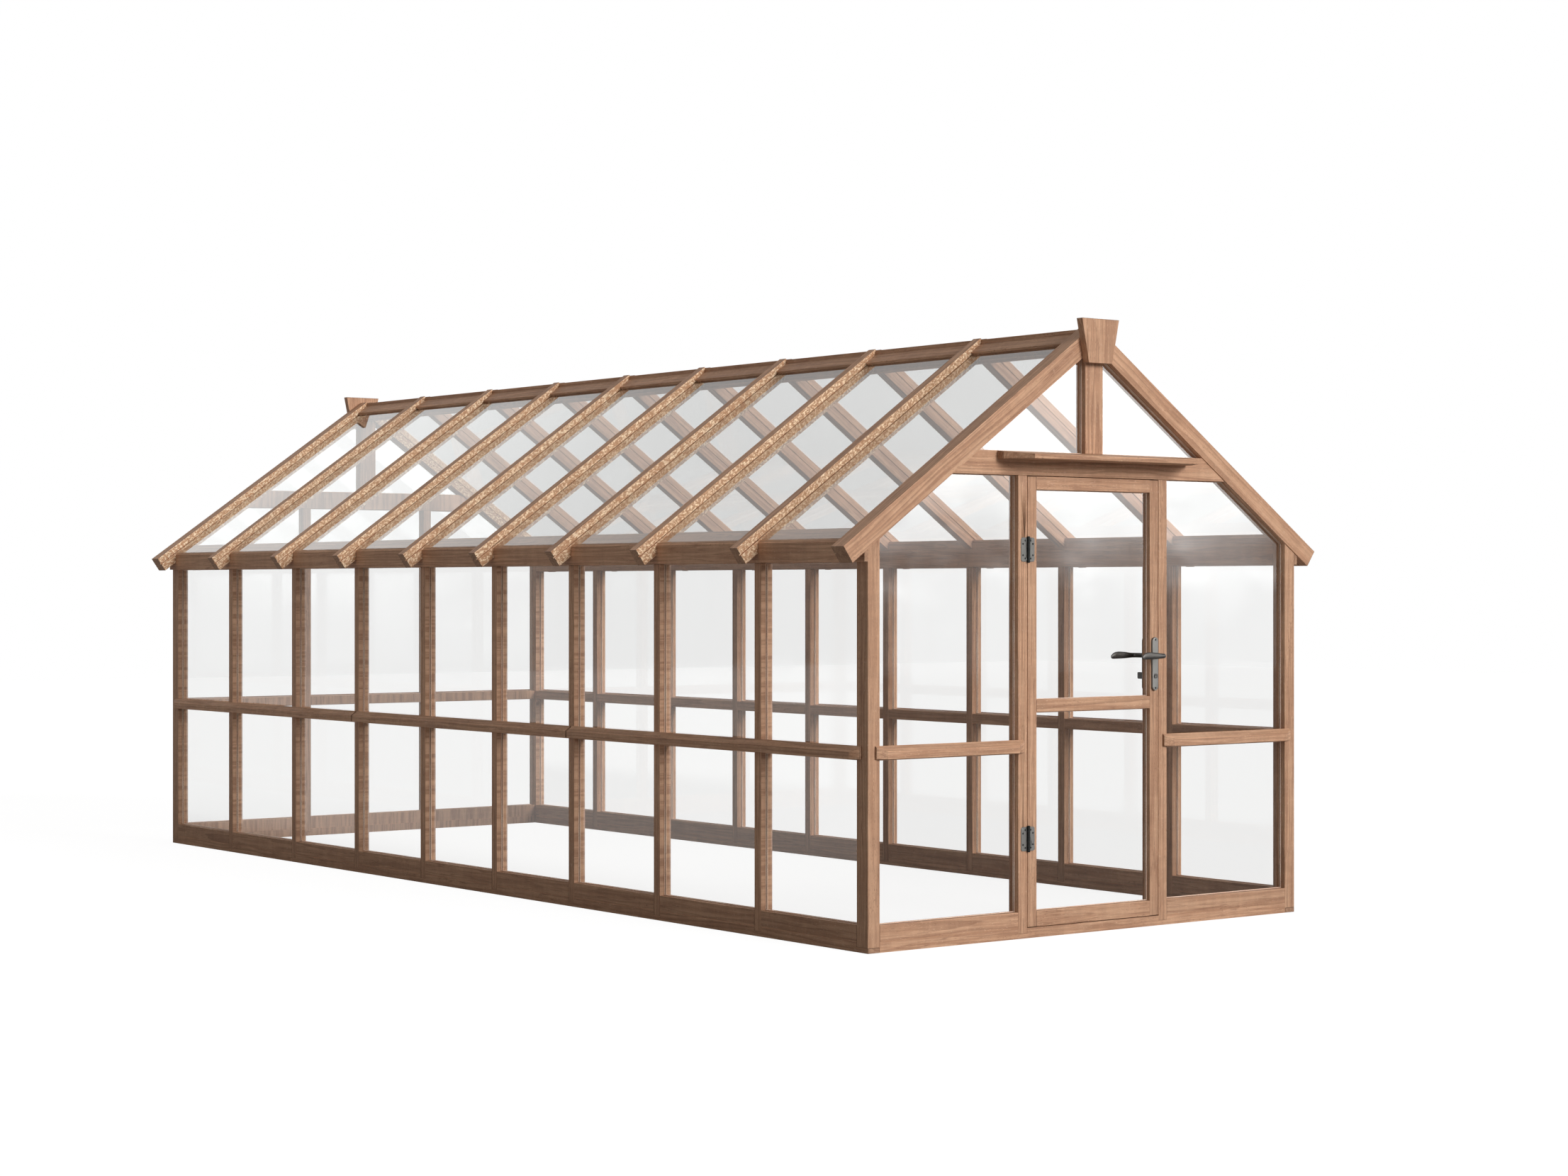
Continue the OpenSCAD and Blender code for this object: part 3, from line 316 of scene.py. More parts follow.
def solids_of(bm):
    """The separate solids of a mesh, each as a list of its points."""
    seen = set()
    found = []
    for start in bm.verts:
        if start in seen:
            continue
        seen.add(start)
        members = []
        waiting = [start]
        while waiting:
            vert = waiting.pop()
            members.append(vert)
            for edge in vert.link_edges:
                other = edge.other_vert(vert)
                if other not in seen:
                    seen.add(other)
                    waiting.append(other)
        found.append(members)
    return found


def is_arris(edge, shortest):
    """True for an outer corner that is long enough to plane."""
    return (
        len(edge.link_faces) == 2
        and edge.calc_length() > shortest
        and edge.calc_face_angle_signed(0) > SHARP
    )


def ease_arrises(bm, width, shortest, segments=2, chosen=None):
    """Bevels the outer edges, or the chosen ones, and marks the new faces in the layer "arris"."""
    mark = bm.faces.layers.float.get("arris")
    if mark is None:
        mark = bm.faces.layers.float.new("arris")
    edges = [edge for edge in bm.edges if is_arris(edge, shortest) and (chosen is None or chosen(edge))]
    made = bmesh.ops.bevel(
        bm, geom=edges, offset=width, offset_type="OFFSET", segments=segments, profile=0.5,
        affect="EDGES", clamp_overlap=True,
    )
    for face in made["faces"]:
        face[mark] = 1.0
    return len(edges)


trial = merged_copy("studs_left")
print("studs on the left:", len(solids_of(trial)))
print("edges planed on them:", ease_arrises(trial, ARRIS, SHORTEST_ARRIS))
trial.free()

# %% [markdown]
# ## Which way the grain runs
# A wood material needs to know where it is in its board. Each board gets its own coordinates, in metres:
# u along the grain, and v and w across it, measured from the heart of the tree that it was cut from.
# They are stored as attributes on the points, so the pattern follows the board whichever way it lies.

# %% Grain coordinates
HEART_NEAR = 0.03
HEART_FAR = 0.11
ALONG_SPREAD = 9.0
chance = np.random.default_rng(41)


def long_way(members):
    """The direction of a board's longest edge."""
    best = None
    for vert in members:
        for edge in vert.link_edges:
            if best is None or edge.calc_length() > best.calc_length() + MERGE:
                best = edge
    way = (best.verts[1].co - best.verts[0].co).normalized()
    return way if way.dot(Vector((1.0, 1.1, 1.2))) > 0 else -way


def mark_grain(bm, way=None):
    """Writes the attributes grain, axis and tone on every board's points."""
    grain = bm.verts.layers.float_vector.new("grain")
    axis = bm.verts.layers.float_vector.new("axis")
    tone = bm.verts.layers.float.new("tone")
    boards = solids_of(bm)
    for members in boards:
        along = way or long_way(members)
        side = along.cross(Vector((0, 1, 0)) if abs(along.y) < 0.9 else Vector((0, 0, 1))).normalized()
        over = along.cross(side)
        low = Vector([min(vert.co[i] for vert in members) for i in range(3)])
        high = Vector([max(vert.co[i] for vert in members) for i in range(3)])
        middle = (low + high) / 2
        turn = chance.uniform(0, 2 * math.pi)
        heart = chance.uniform(HEART_NEAR, HEART_FAR)
        start = Vector((chance.uniform(-1, 1) * ALONG_SPREAD, heart * math.cos(turn), heart * math.sin(turn)))
        shade = chance.uniform(-1, 1)
        for vert in members:
            offset = vert.co - middle
            vert[grain] = Vector((offset.dot(along), offset.dot(side), offset.dot(over))) + start
            vert[axis] = along
            vert[tone] = shade
    return len(boards)


# %% [markdown]
# ## Softwood
# The timber is planed larch or cedar: a warm pink brown with fine darker streaks along each board. The
# colour is built in the board's own coordinates. Rings are the distance from the heart, bent by slow noise,
# so a flat face shows long streaks and flames while an end shows arcs. Finer noise, stretched along u, adds
# fibres and short resin flecks. The same streaks drive a little roughness and bump. Two more finishes change
# only the flanks that face the sun: on the outer rafters those flanks are painted darker and carry painted
# glints, pale specks of painted highlight, and on the side studs they are painted lighter and carry dark
# marks straight across the grain.

# %% Softwood material
LIGHT_WOOD = (0.655, 0.392, 0.246, 1)
MID_WOOD = (0.505, 0.276, 0.164, 1)
DARK_WOOD = (0.265, 0.125, 0.070, 1)
PALE_FLECK = (0.800, 0.560, 0.400, 1)
PAINTED_GLINT_COLOUR = (1.000, 0.800, 0.560, 1)
PAINTED_DARK_FLANK = (0.460, 0.235, 0.115, 1)
PAINTED_LIGHT_FLANK = (0.640, 0.390, 0.250, 1)
RING_PITCH = 15 * MM
RING_WARP = 60 * MM
PAINTED_SHADE_HEIGHT = 0.9


def softwood(name, painted_glints=0.0, saw_marks=0.0):
    """Planed softwood, whose flanks that face the sun get painted glints on a painted darker base, or are
    painted lighter and get marks across the grain.
    """
    material, tree, surface = new_material(name)
    grain = put(tree, "ShaderNodeAttribute", attribute_name="grain").outputs["Vector"]
    axis = put(tree, "ShaderNodeAttribute", attribute_name="axis").outputs["Vector"]
    tone = put(tree, "ShaderNodeAttribute", attribute_name="tone").outputs["Fac"]
    arris = put(tree, "ShaderNodeAttribute", attribute_name="arris").outputs["Fac"]

    # The rings wander along the board and across it
    slow = put(tree, "ShaderNodeTexNoise",
               {"Vector": scaled(tree, grain, (1.1, 11.0, 11.0)), "Scale": 1.0, "Detail": 3.0})
    centred = put(tree, "ShaderNodeVectorMath", {0: slow.outputs["Color"], 1: (0.5, 0.5, 0.5)},
                  operation="SUBTRACT").outputs[0]
    bent = put(tree, "ShaderNodeVectorMath",
               {0: scaled(tree, centred, (0.0, RING_WARP, RING_WARP)), 1: grain},
               operation="ADD").outputs[0]
    across = scaled(tree, bent, (0.0, 1.0, 1.0))
    reach = put(tree, "ShaderNodeVectorMath", {0: across}, operation="LENGTH").outputs["Value"]
    ring = number(tree, "FRACT", number(tree, "DIVIDE", reach, RING_PITCH))
    late = number(tree, "MULTIPLY", between(tree, ring, 0.25, 0.9), between(tree, ring, 1.0, 0.93))

    # Streaks, veins and fibres lie along the grain
    streak = noise(tree, scaled(tree, grain, (2.6, 62.0, 62.0)), 4.0, 0.6)
    vein = noise(tree, scaled(tree, grain, (2.0, 48.0, 48.0)), 2.0, 0.5, Distortion=0.4)
    vein = number(tree, "ABSOLUTE", number(tree, "SUBTRACT", vein, 0.47))
    vein = between(tree, vein, 0.006, 0.035, 1.0, 0.0)
    fibre = noise(tree, scaled(tree, grain, (26.0, 700.0, 700.0)), 2.0)
    cloud = noise(tree, scaled(tree, grain, (1.3, 7.0, 7.0)), 2.0)

    # Short dark dashes come in clusters, and pale ones come between them
    cluster = between(tree, noise(tree, scaled(tree, grain, (3.5, 30.0, 30.0)), 1.0), 0.5, 0.62)
    dash = noise(tree, scaled(tree, grain, (75.0, 290.0, 290.0)), 1.0)
    dark_dash = number(tree, "MULTIPLY", between(tree, dash, 0.6, 0.68), cluster)
    pale_dash = number(tree, "MULTIPLY", between(tree, dash, 0.37, 0.3),
                       between(tree, cluster, 0.0, 0.5, 1.0, 0.0))

    colour = mixed(tree, between(tree, streak, 0.38, 0.62), MID_WOOD, LIGHT_WOOD)
    depth = number(tree, "MULTIPLY", late, between(tree, cloud, 0.35, 0.65, 0.1, 0.5))
    colour = mixed(tree, depth, colour, DARK_WOOD)
    colour = mixed(tree, number(tree, "MULTIPLY", vein, between(tree, cloud, 0.35, 0.65, 0.5, 0.12)),
                   colour, DARK_WOOD)
    colour = mixed(tree, number(tree, "MULTIPLY", dark_dash, 0.6), colour, DARK_WOOD)
    colour = mixed(tree, number(tree, "MULTIPLY", pale_dash, 0.4), colour, PALE_FLECK)
    colour = mixed(tree, between(tree, fibre, 0.35, 0.75, 0.0, 0.14), colour, DARK_WOOD)
    ripple = noise(tree, scaled(tree, grain, (24.0, 5.0, 5.0)), 2.0)

    # Flanks that face the sun get painted light: painted glints, or a painted lighter face
    normal = put(tree, "ShaderNodeNewGeometry").outputs["Normal"]
    sunward = number(tree, "MULTIPLY", put(tree, "ShaderNodeSeparateXYZ", {0: normal}).outputs["Y"], -1.0)
    flank = between(tree, sunward, 0.5, 0.9)
    if painted_glints:
        # The sun-facing flank is painted darker, as a base for the painted glints
        colour = mixed(tree, number(tree, "MULTIPLY", flank, 0.7), colour, PAINTED_DARK_FLANK)
        # Painted glints: pale specks of painted highlight on the sun-facing flank
        glint_spots = noise(tree, scaled(tree, grain, (75.0, 105.0, 105.0)), 3.0, 0.8)
        glint_spots = number(tree, "MULTIPLY", between(tree, glint_spots, 0.47, 0.6), flank)
        colour = mixed(tree, number(tree, "MULTIPLY", glint_spots, painted_glints), colour, PAINTED_GLINT_COLOUR)
    if saw_marks:
        # Painted light: the sun-facing flank is painted lighter, and dark marks run across the grain over it
        colour = mixed(tree, number(tree, "MULTIPLY", flank, 0.75), colour, PAINTED_LIGHT_FLANK)
        mark = noise(tree, scaled(tree, grain, (38.0, 2.5, 2.5)), 4.0, 0.7)
        mark = number(tree, "MULTIPLY", between(tree, mark, 0.42, 0.62), flank)
        colour = mixed(tree, number(tree, "MULTIPLY", mark, saw_marks), colour, DARK_WOOD)

    # Boards differ, ends are darker, planed edges get a painted highlight, and the foot gets painted shade
    along_grain = put(tree, "ShaderNodeVectorMath", {0: normal, 1: axis}, operation="DOT_PRODUCT")
    end = number(tree, "ABSOLUTE", along_grain.outputs["Value"])
    place = put(tree, "ShaderNodeSeparateXYZ", {0: put(tree, "ShaderNodeTexCoord").outputs["Object"]})
    level = number(tree, "MULTIPLY_ADD", tone, 0.07)
    level.node.inputs[2].default_value = 1.0
    level = number(tree, "MULTIPLY", level, between(tree, end, 0.75, 0.95, 1.0, 0.72))
    # Painted highlight: long planed edges are painted lighter; edges across the end of a board are darker
    arris_highlight_level = between(tree, end, 0.2, 0.4, 1.25, 0.55)
    level = number(tree, "MULTIPLY", level,
                   put(tree, "ShaderNodeMix", {0: arris, 2: 1.0, 3: arris_highlight_level}).outputs[0])
    level = number(tree, "MULTIPLY", level, between(tree, ripple, 0.3, 0.7, 0.95, 1.05))
    # Painted shade: the colour darkens towards the ground, for light that falls off lower down
    level = number(tree, "MULTIPLY", level, between(tree, place.outputs["Z"], 0.0, PAINTED_SHADE_HEIGHT, 0.9, 1.0))
    colour = mixed(tree, 1.0, colour, put(tree, "ShaderNodeCombineColor",
                                          {0: level, 1: level, 2: level}).outputs[0], "MULTIPLY")
    tree.links.new(colour, surface.inputs["Base Color"])

    rough = between(tree, streak, 0.3, 0.7, 0.52, 0.68)
    tree.links.new(rough, surface.inputs["Roughness"])
    surface.inputs["Specular IOR Level"].default_value = 0.3
    height = number(tree, "SUBTRACT", fibre, number(tree, "MULTIPLY", late, 0.5))
    height = number(tree, "SUBTRACT", height, dark_dash)
    bump = put(tree, "ShaderNodeBump", {"Height": height, "Strength": 0.35, "Distance": 0.3 * MM})
    tree.links.new(bump.outputs[0], surface.inputs["Normal"])
    return material


SOFTWOOD = softwood("softwood")
# Painted glints and a painted darker base on the flanks that face the sun
PAINTED_GLINT_SOFTWOOD = softwood("softwood_painted_glints", painted_glints=0.85)
# A painted lighter flank that faces the sun, with marks across the grain
SAWN_PAINTED_LIGHT_SOFTWOOD = softwood("softwood_sawn_painted_light", saw_marks=0.6)
print("softwood has", len(SOFTWOOD.node_tree.nodes), "nodes")

# %% [markdown]
# ## Boards that are each their own
# Plates, rails, posts and the boards of the gables differ from one another, so each imported node is copied,
# planed and marked as it is. The finial boards stand on end, so their grain is given as upright. Where
# one long cover rail meets the next, both ends are chamfered, so that the joint shows as a small groove.

# %% Dress the single boards
JOINT_CHAMFER = 7 * MM
JOINT_REACH = 1 * MM


def as_piece(bm, name, node, materials, smooth=None):
    """Turns a mesh in the making into a finished piece that stands for a node."""
    mesh = bpy.data.meshes.new(name)
    bm.to_mesh(mesh)
    bm.free()
    for material in materials:
        mesh.materials.append(material)
    if smooth:
        mesh.shade_smooth()
        mesh.set_sharp_from_angle(angle=smooth)
    piece = bpy.data.objects.new(name, mesh)
    bpy.context.scene.collection.objects.link(piece)
    finish_piece(piece, node)
    return piece


def finish_piece(piece, node):
    """Lets a piece ride with a node's body and stand for that node."""
    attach(piece, frame["nodes"][node]["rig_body"])
    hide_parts(node)


BOARDS = [
    "sole_plate_front", "sole_plate_rear", "sole_plate_left", "sole_plate_right",
    "corner_posts_front", "corner_posts_rear", "rear_studs",
    "bottom_rails_front", "bottom_rails_rear", "bottom_rails_left", "bottom_rails_right",
    "noggings_front", "noggings_rear", "noggings_left", "noggings_right",
    "cover_rails_front", "cover_rails_rear", "cover_rails_left", "cover_rails_right",
    "eaves_plate_left", "eaves_plate_right", "gable_rafters_front", "gable_rafters_rear",
    "ridge_board", "ridge_beads", "tie_beam_front", "tie_beam_rear", "king_posts", "finials", "drip_hood",
    "door_jamb_left", "door_jamb_right", "door_stops", "door_stiles", "door_rails",
]
UPRIGHT_GRAIN = {"finials": Vector((0, 0, 1))}
# Boards whose sun-facing flanks get painted light: painted glints, or a painted lighter flank with marks
PAINTED_FLANK_BOARDS = {
    "corner_posts_rear": SAWN_PAINTED_LIGHT_SOFTWOOD, "sole_plate_rear": SAWN_PAINTED_LIGHT_SOFTWOOD, "bottom_rails_rear": SAWN_PAINTED_LIGHT_SOFTWOOD,
    "noggings_rear": SAWN_PAINTED_LIGHT_SOFTWOOD, "tie_beam_rear": SAWN_PAINTED_LIGHT_SOFTWOOD, "gable_rafters_rear": PAINTED_GLINT_SOFTWOOD,
}

JOINTED_BOARDS = ["cover_rails_left", "cover_rails_right"]


def chamfer_joints(bm):
    """Chamfers the ends of rails that run along the house where one meets the next."""
    ends = sorted(end(vert.co.y for vert in solid) for solid in solids_of(bm) for end in (min, max))
    joints = [(a + b) / 2 for a, b in zip(ends, ends[1:]) if b - a < JOINT_REACH]

    def at_joint(edge):
        """True for an edge that lies in one of the joints."""
        return any(all(abs(vert.co.y - joint) < JOINT_REACH for vert in edge.verts) for joint in joints)

    ease_arrises(bm, JOINT_CHAMFER, SHORTEST_ARRIS, segments=1, chosen=at_joint)
    return len(joints)


count = 0
for node in BOARDS:
    bm = merged_copy(node)
    if node in JOINTED_BOARDS:
        print(node, "has", chamfer_joints(bm), "joints")
    ease_arrises(bm, ARRIS, SHORTEST_ARRIS)
    count += mark_grain(bm, UPRIGHT_GRAIN.get(node))
    as_piece(bm, node + "_planed", node, [PAINTED_FLANK_BOARDS.get(node, SOFTWOOD)])
print("boards dressed one by one:", count)

# %% [markdown]
# ## Boards that repeat
# The studs of a side wall are one pattern, set out along the wall at the bays, and so are the rafters.
# A joiner cuts one and marks the rest from it. Geometry Nodes do the same: one finished board is
# placed on a row of setting-out points. Each copy gets a random shift of its grain and its own tone,
# with a fixed seed, so that no two boards look alike.

# %% Geometry Nodes helpers
def new_tree(name, inputs):
    """A geometry tree with named inputs. Returns the tree and its input node."""
    tree = bpy.data.node_groups.new(name, "GeometryNodeTree")
    tree.interface.new_socket(name="Geometry", in_out="INPUT", socket_type="NodeSocketGeometry")
    for label, kind in inputs:
        tree.interface.new_socket(name=label, in_out="INPUT", socket_type="NodeSocket" + kind)
    tree.interface.new_socket(name="Geometry", in_out="OUTPUT", socket_type="NodeSocketGeometry")
    return tree, tree.nodes.new("NodeGroupInput")


def end_tree(tree, geometry, finish):
    """Makes instances real, sets the material and ends the tree."""
    real = put(tree, "GeometryNodeRealizeInstances", {0: geometry})
    dressed = put(tree, "GeometryNodeSetMaterial", {"Geometry": real.outputs[0], "Material": finish})
    tree.links.new(dressed.outputs[0], put(tree, "NodeGroupOutput").inputs[0])


def grown(name, points, tree, values, edges=()):
    """Runs a tree on points, or on lines between them, and returns the result as a plain mesh object."""
    mesh = bpy.data.meshes.new(name + "_points")
    mesh.from_pydata([tuple(point) for point in points], list(edges), [])
    holder = bpy.data.objects.new(name + "_points", mesh)
    bpy.context.scene.collection.objects.link(holder)
    modifier = holder.modifiers.new(name, "NODES")
    modifier.node_group = tree
    for socket in tree.interface.items_tree:
        if socket.in_out == "INPUT" and socket.name in values:
            modifier[socket.identifier] = values[socket.name]
    ready = holder.evaluated_get(bpy.context.evaluated_depsgraph_get())
    result = bpy.data.meshes.new_from_object(ready)
    holder.modifiers.remove(modifier)
    bpy.data.objects.remove(holder)
    result.name = name
    piece = bpy.data.objects.new(name, result)
    bpy.context.scene.collection.objects.link(piece)
    return piece


# %% [markdown]
# The tree for the boards takes the pattern board and a row of points. A random tone and a random shift of the
# grain are stored on the instances first, because that is where one value belongs to one copy. Once the
# instances are real, the shift is added to the grain of every point.

# %% A tree that sets out copies of one board
def setting_out_tree():
    """Places copies of one board on points, each with its own tone and grain."""
    tree, given = new_tree("set_out_boards", [
        ("Board", "Object"), ("Seed", "Int"), ("Tone", "Float"), ("Grain shift", "Vector"),
        ("Finish", "Material"),
    ])
    board = put(tree, "GeometryNodeObjectInfo", {"Object": given.outputs["Board"]})
    placed = put(tree, "GeometryNodeInstanceOnPoints",
                 {"Points": given.outputs["Geometry"], "Instance": board.outputs["Geometry"]})
    low_tone = put(tree, "ShaderNodeMath", {0: given.outputs["Tone"], 1: -1.0}, operation="MULTIPLY")
    tone = put(tree, "FunctionNodeRandomValue",
               {2: low_tone.outputs[0], 3: given.outputs["Tone"], "Seed": given.outputs["Seed"]},
               data_type="FLOAT")
    low_shift = put(tree, "ShaderNodeVectorMath", {0: given.outputs["Grain shift"], 1: (-1, -1, -1)},
                    operation="MULTIPLY")
    shift = put(tree, "FunctionNodeRandomValue",
                {0: low_shift.outputs[0], 1: given.outputs["Grain shift"], "Seed": given.outputs["Seed"]},
                data_type="FLOAT_VECTOR")
    toned = put(tree, "GeometryNodeStoreNamedAttribute",
                {"Geometry": placed.outputs[0], "Name": "copy_tone", "Value": tone.outputs[1]},
                data_type="FLOAT", domain="INSTANCE")
    shifted = put(tree, "GeometryNodeStoreNamedAttribute",
                  {"Geometry": toned.outputs[0], "Name": "copy_shift", "Value": shift.outputs[0]},
                  data_type="FLOAT_VECTOR", domain="INSTANCE")
    real = put(tree, "GeometryNodeRealizeInstances", {0: shifted.outputs[0]})
    own_grain = put(tree, "GeometryNodeInputNamedAttribute", {"Name": "grain"}, data_type="FLOAT_VECTOR")
    own_shift = put(tree, "GeometryNodeInputNamedAttribute", {"Name": "copy_shift"}, data_type="FLOAT_VECTOR")
    own_tone = put(tree, "GeometryNodeInputNamedAttribute", {"Name": "copy_tone"}, data_type="FLOAT")
    moved = put(tree, "ShaderNodeVectorMath", {0: own_grain.outputs[0], 1: own_shift.outputs[0]},
                operation="ADD")
    grained = put(tree, "GeometryNodeStoreNamedAttribute",
                  {"Geometry": real.outputs[0], "Name": "grain", "Value": moved.outputs[0]},
                  data_type="FLOAT_VECTOR", domain="POINT")
    coloured = put(tree, "GeometryNodeStoreNamedAttribute",
                   {"Geometry": grained.outputs[0], "Name": "tone", "Value": own_tone.outputs[0]},
                   data_type="FLOAT", domain="POINT")
    end_tree(tree, coloured.outputs[0], given.outputs["Finish"])
    return tree


SETTING_OUT = setting_out_tree()
GRAIN_SHIFT = (9.0, 0.03, 0.03)
FIRST_BOARD_SEED = 3

# %% [markdown]
# Each run gives one board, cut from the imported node, and the places of all of them. The copies come out
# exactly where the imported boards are, so the run can stand for its node.

# %% Studs and rafters
RUNS = {
    "studs_left": SAWN_PAINTED_LIGHT_SOFTWOOD, "studs_right": SOFTWOOD,
    "rafters_left": PAINTED_GLINT_SOFTWOOD, "rafters_right": SOFTWOOD,
}


def pattern_board(node):
    """The first board of a run, planed and marked, and the places along Y where its copies go."""
    bm = merged_copy(node)
    boards = sorted(solids_of(bm), key=lambda members: min(vert.co.y for vert in members))
    starts = [min(vert.co.y for vert in members) for members in boards]
    first = set(boards[0])
    bmesh.ops.delete(bm, geom=[vert for vert in bm.verts if vert not in first], context="VERTS")
    bmesh.ops.translate(bm, verts=bm.verts, vec=(0, -starts[0], 0))
    ease_arrises(bm, ARRIS, SHORTEST_ARRIS)
    mark_grain(bm)
    mesh = bpy.data.meshes.new(node + "_pattern")
    bm.to_mesh(mesh)
    bm.free()
    board = bpy.data.objects.new(node + "_pattern", mesh)
    bpy.context.scene.collection.objects.link(board)
    return board, [Vector((0, start, 0)) for start in starts]


for seed, (node, finish) in enumerate(RUNS.items()):
    board, places = pattern_board(node)
    piece = grown(node + "_set_out", places, SETTING_OUT, {
        "Board": board, "Seed": seed + FIRST_BOARD_SEED, "Tone": 1.0, "Grain shift": GRAIN_SHIFT,
        "Finish": finish,
    })
    bpy.data.objects.remove(board)
    finish_piece(piece, node)
    print(piece.name, len(places), "boards,", len(piece.data.polygons), "faces")

# %% [markdown]
# ## Glass
# Each pane is a separate sheet of 4 mm horticultural glass in a groove. Seen against white it is a
# faint grey, a little stronger where it is seen at a slant, and it mirrors more at a slant too. A sheet
# mirrors on both of its faces, so a pane's share is 2F / (1 + F), where F is one face's Fresnel share. A
# clear shader that doesn't bend light is true enough for a thin sheet, and it lets the sun through to the
# boards behind it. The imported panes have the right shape, so they stay and only get the finish.

# %% Glass material
LAMP_TINT = (0.89, 0.885, 0.88, 1)


def clear_glass(name, face_on, slant):
    """A clear sheet that mirrors, with one tint seen face on and another at a slant."""
    material = bpy.data.materials.new(name)
    tree = emptied_tree(material)
    lean = put(tree, "ShaderNodeLayerWeight", {"Blend": 0.5}).outputs["Facing"]
    tint = mixed(tree, lean, face_on, slant)
    clear = put(tree, "ShaderNodeBsdfTransparent", {"Color": tint})
    place = put(tree, "ShaderNodeTexCoord").outputs["Object"]
    dust = noise(tree, scaled(tree, place, (3.0, 3.0, 1.2)), 3.0)
    mirror = put(tree, "ShaderNodeBsdfGlossy", {"Color": (0.9, 0.92, 0.92, 1)})
    tree.links.new(between(tree, dust, 0.3, 0.8, 0.01, 0.08), mirror.inputs["Roughness"])
    one_face = put(tree, "ShaderNodeFresnel", {"IOR": 1.5}).outputs[0]
    both_faces = number(tree, "DIVIDE", number(tree, "MULTIPLY", one_face, 2.0),
                        number(tree, "ADD", one_face, 1.0))
    outer = number(tree, "SUBTRACT", 1.0, put(tree, "ShaderNodeNewGeometry").outputs["Backfacing"])
    share = number(tree, "MULTIPLY", both_faces, outer)
    both = put(tree, "ShaderNodeMixShader", {0: share, 1: clear.outputs[0], 2: mirror.outputs[0]})
    lamps = put(tree, "ShaderNodeBsdfTransparent", {"Color": LAMP_TINT})
    path = put(tree, "ShaderNodeLightPath")
    final = put(tree, "ShaderNodeMixShader",
                {0: path.outputs["Is Shadow Ray"], 1: both.outputs[0], 2: lamps.outputs[0]})
    output = put(tree, "ShaderNodeOutputMaterial")
    tree.links.new(final.outputs[0], output.inputs["Surface"])
    return material


WALL_GLASS = clear_glass("wall_glass", (0.998, 0.998, 0.997, 1), (0.985, 0.985, 0.983, 1))
ROOF_GLASS = clear_glass("roof_glass", (0.992, 0.992, 0.99, 1), (0.955, 0.955, 0.952, 1))
GLASS_NODES = {
    "glass_front": WALL_GLASS, "glass_rear": WALL_GLASS, "glass_left": WALL_GLASS, "glass_right": WALL_GLASS,
    "door_glass": WALL_GLASS, "roof_glass_left": ROOF_GLASS, "roof_glass_right": ROOF_GLASS,
}


def refinish(node, material):
    """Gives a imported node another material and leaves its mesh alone."""
    for slot in frame["nodes"][node].material_slots:
        slot.material = material


for node, glass in GLASS_NODES.items():
    refinish(node, glass)
print("panes:", sum(len(frame["nodes"][node].data.polygons) for node in GLASS_NODES) // 12)

# %% [markdown]
# ## Glazing strips
# A thin pale strip closes the gap between each pane and its groove, on both faces. Its pale colour is a
# painted highlight, for the light that the edge of the glass catches, so in the dark reveals it shows as a
# fine light line. Its path is the edge of what shows of the pane: the pane's face, drawn in by the depth
# that it goes into the wood. Geometry Nodes turn these loops into curves and give them a round section.

# %% Strips round the panes
STRIP_R = 1.9 * MM
STRIP_SIDES = 8
WALL_BITE = 8 * MM
DOOR_BITE = 6 * MM
PANE_FACE = 0.02
STRIP_PAINTED_HIGHLIGHT = (1.0, 0.80, 0.64, 1)
STRIP_WARM = (0.93, 0.64, 0.48, 1)


def strip_finish():
    """Pale timber strip whose pale colour is a painted highlight, weathered in patches, with fine dark
    specks.
    """
    material, tree, surface = new_material("strip_painted_highlight")
    place = put(tree, "ShaderNodeTexCoord").outputs["Object"]
    cloud = noise(tree, scaled(tree, place, (7.0, 7.0, 7.0)), 3.0)
    speck = noise(tree, scaled(tree, place, (260.0, 260.0, 260.0)), 2.0)
    # Painted highlight: the strip's pale colours stand in for the lit edge of the glass
    colour = mixed(tree, between(tree, cloud, 0.35, 0.65), STRIP_PAINTED_HIGHLIGHT, STRIP_WARM)
    colour = mixed(tree, between(tree, speck, 0.5, 0.68, 0.0, 0.45), colour, MID_WOOD)
    tree.links.new(colour, surface.inputs["Base Color"])
    tree.links.new(between(tree, cloud, 0.3, 0.7, 0.35, 0.5), surface.inputs["Roughness"])
    bump = put(tree, "ShaderNodeBump", {"Height": speck, "Strength": 0.3, "Distance": 0.2 * MM})
    tree.links.new(bump.outputs[0], surface.inputs["Normal"])
    return material


def strip_tree():
    """Runs a round section along loops of edges."""
    tree, given = new_tree("glazing_strips", [("Radius", "Float"), ("Sides", "Int"), ("Finish", "Material")])
    path = put(tree, "GeometryNodeMeshToCurve", {"Mesh": given.outputs["Geometry"]})
    section = put(tree, "GeometryNodeCurvePrimitiveCircle",
                  {"Resolution": given.outputs["Sides"], "Radius": given.outputs["Radius"]})
    strip = put(tree, "GeometryNodeCurveToMesh",
                {"Curve": path.outputs[0], "Profile Curve": section.outputs[0]})
    end_tree(tree, strip.outputs[0], given.outputs["Finish"])
    return tree


def sight_lines(node, bite):
    """Points and edges of closed loops round what shows of each pane, on both of its faces."""
    bm = merged_copy(node)
    bm.normal_update()
    faces = [face for face in bm.faces if face.calc_area() > PANE_FACE]
    bmesh.ops.inset_individual(bm, faces=faces, thickness=bite + STRIP_R, use_even_offset=True)
    points = []
    edges = []
    for face in faces:
        first = len(points)
        sides = len(face.verts)
        points += [vert.co + face.normal * STRIP_R for vert in face.verts]
        edges += [(first + side, first + (side + 1) % sides) for side in range(sides)]
    bm.free()
    return points, edges


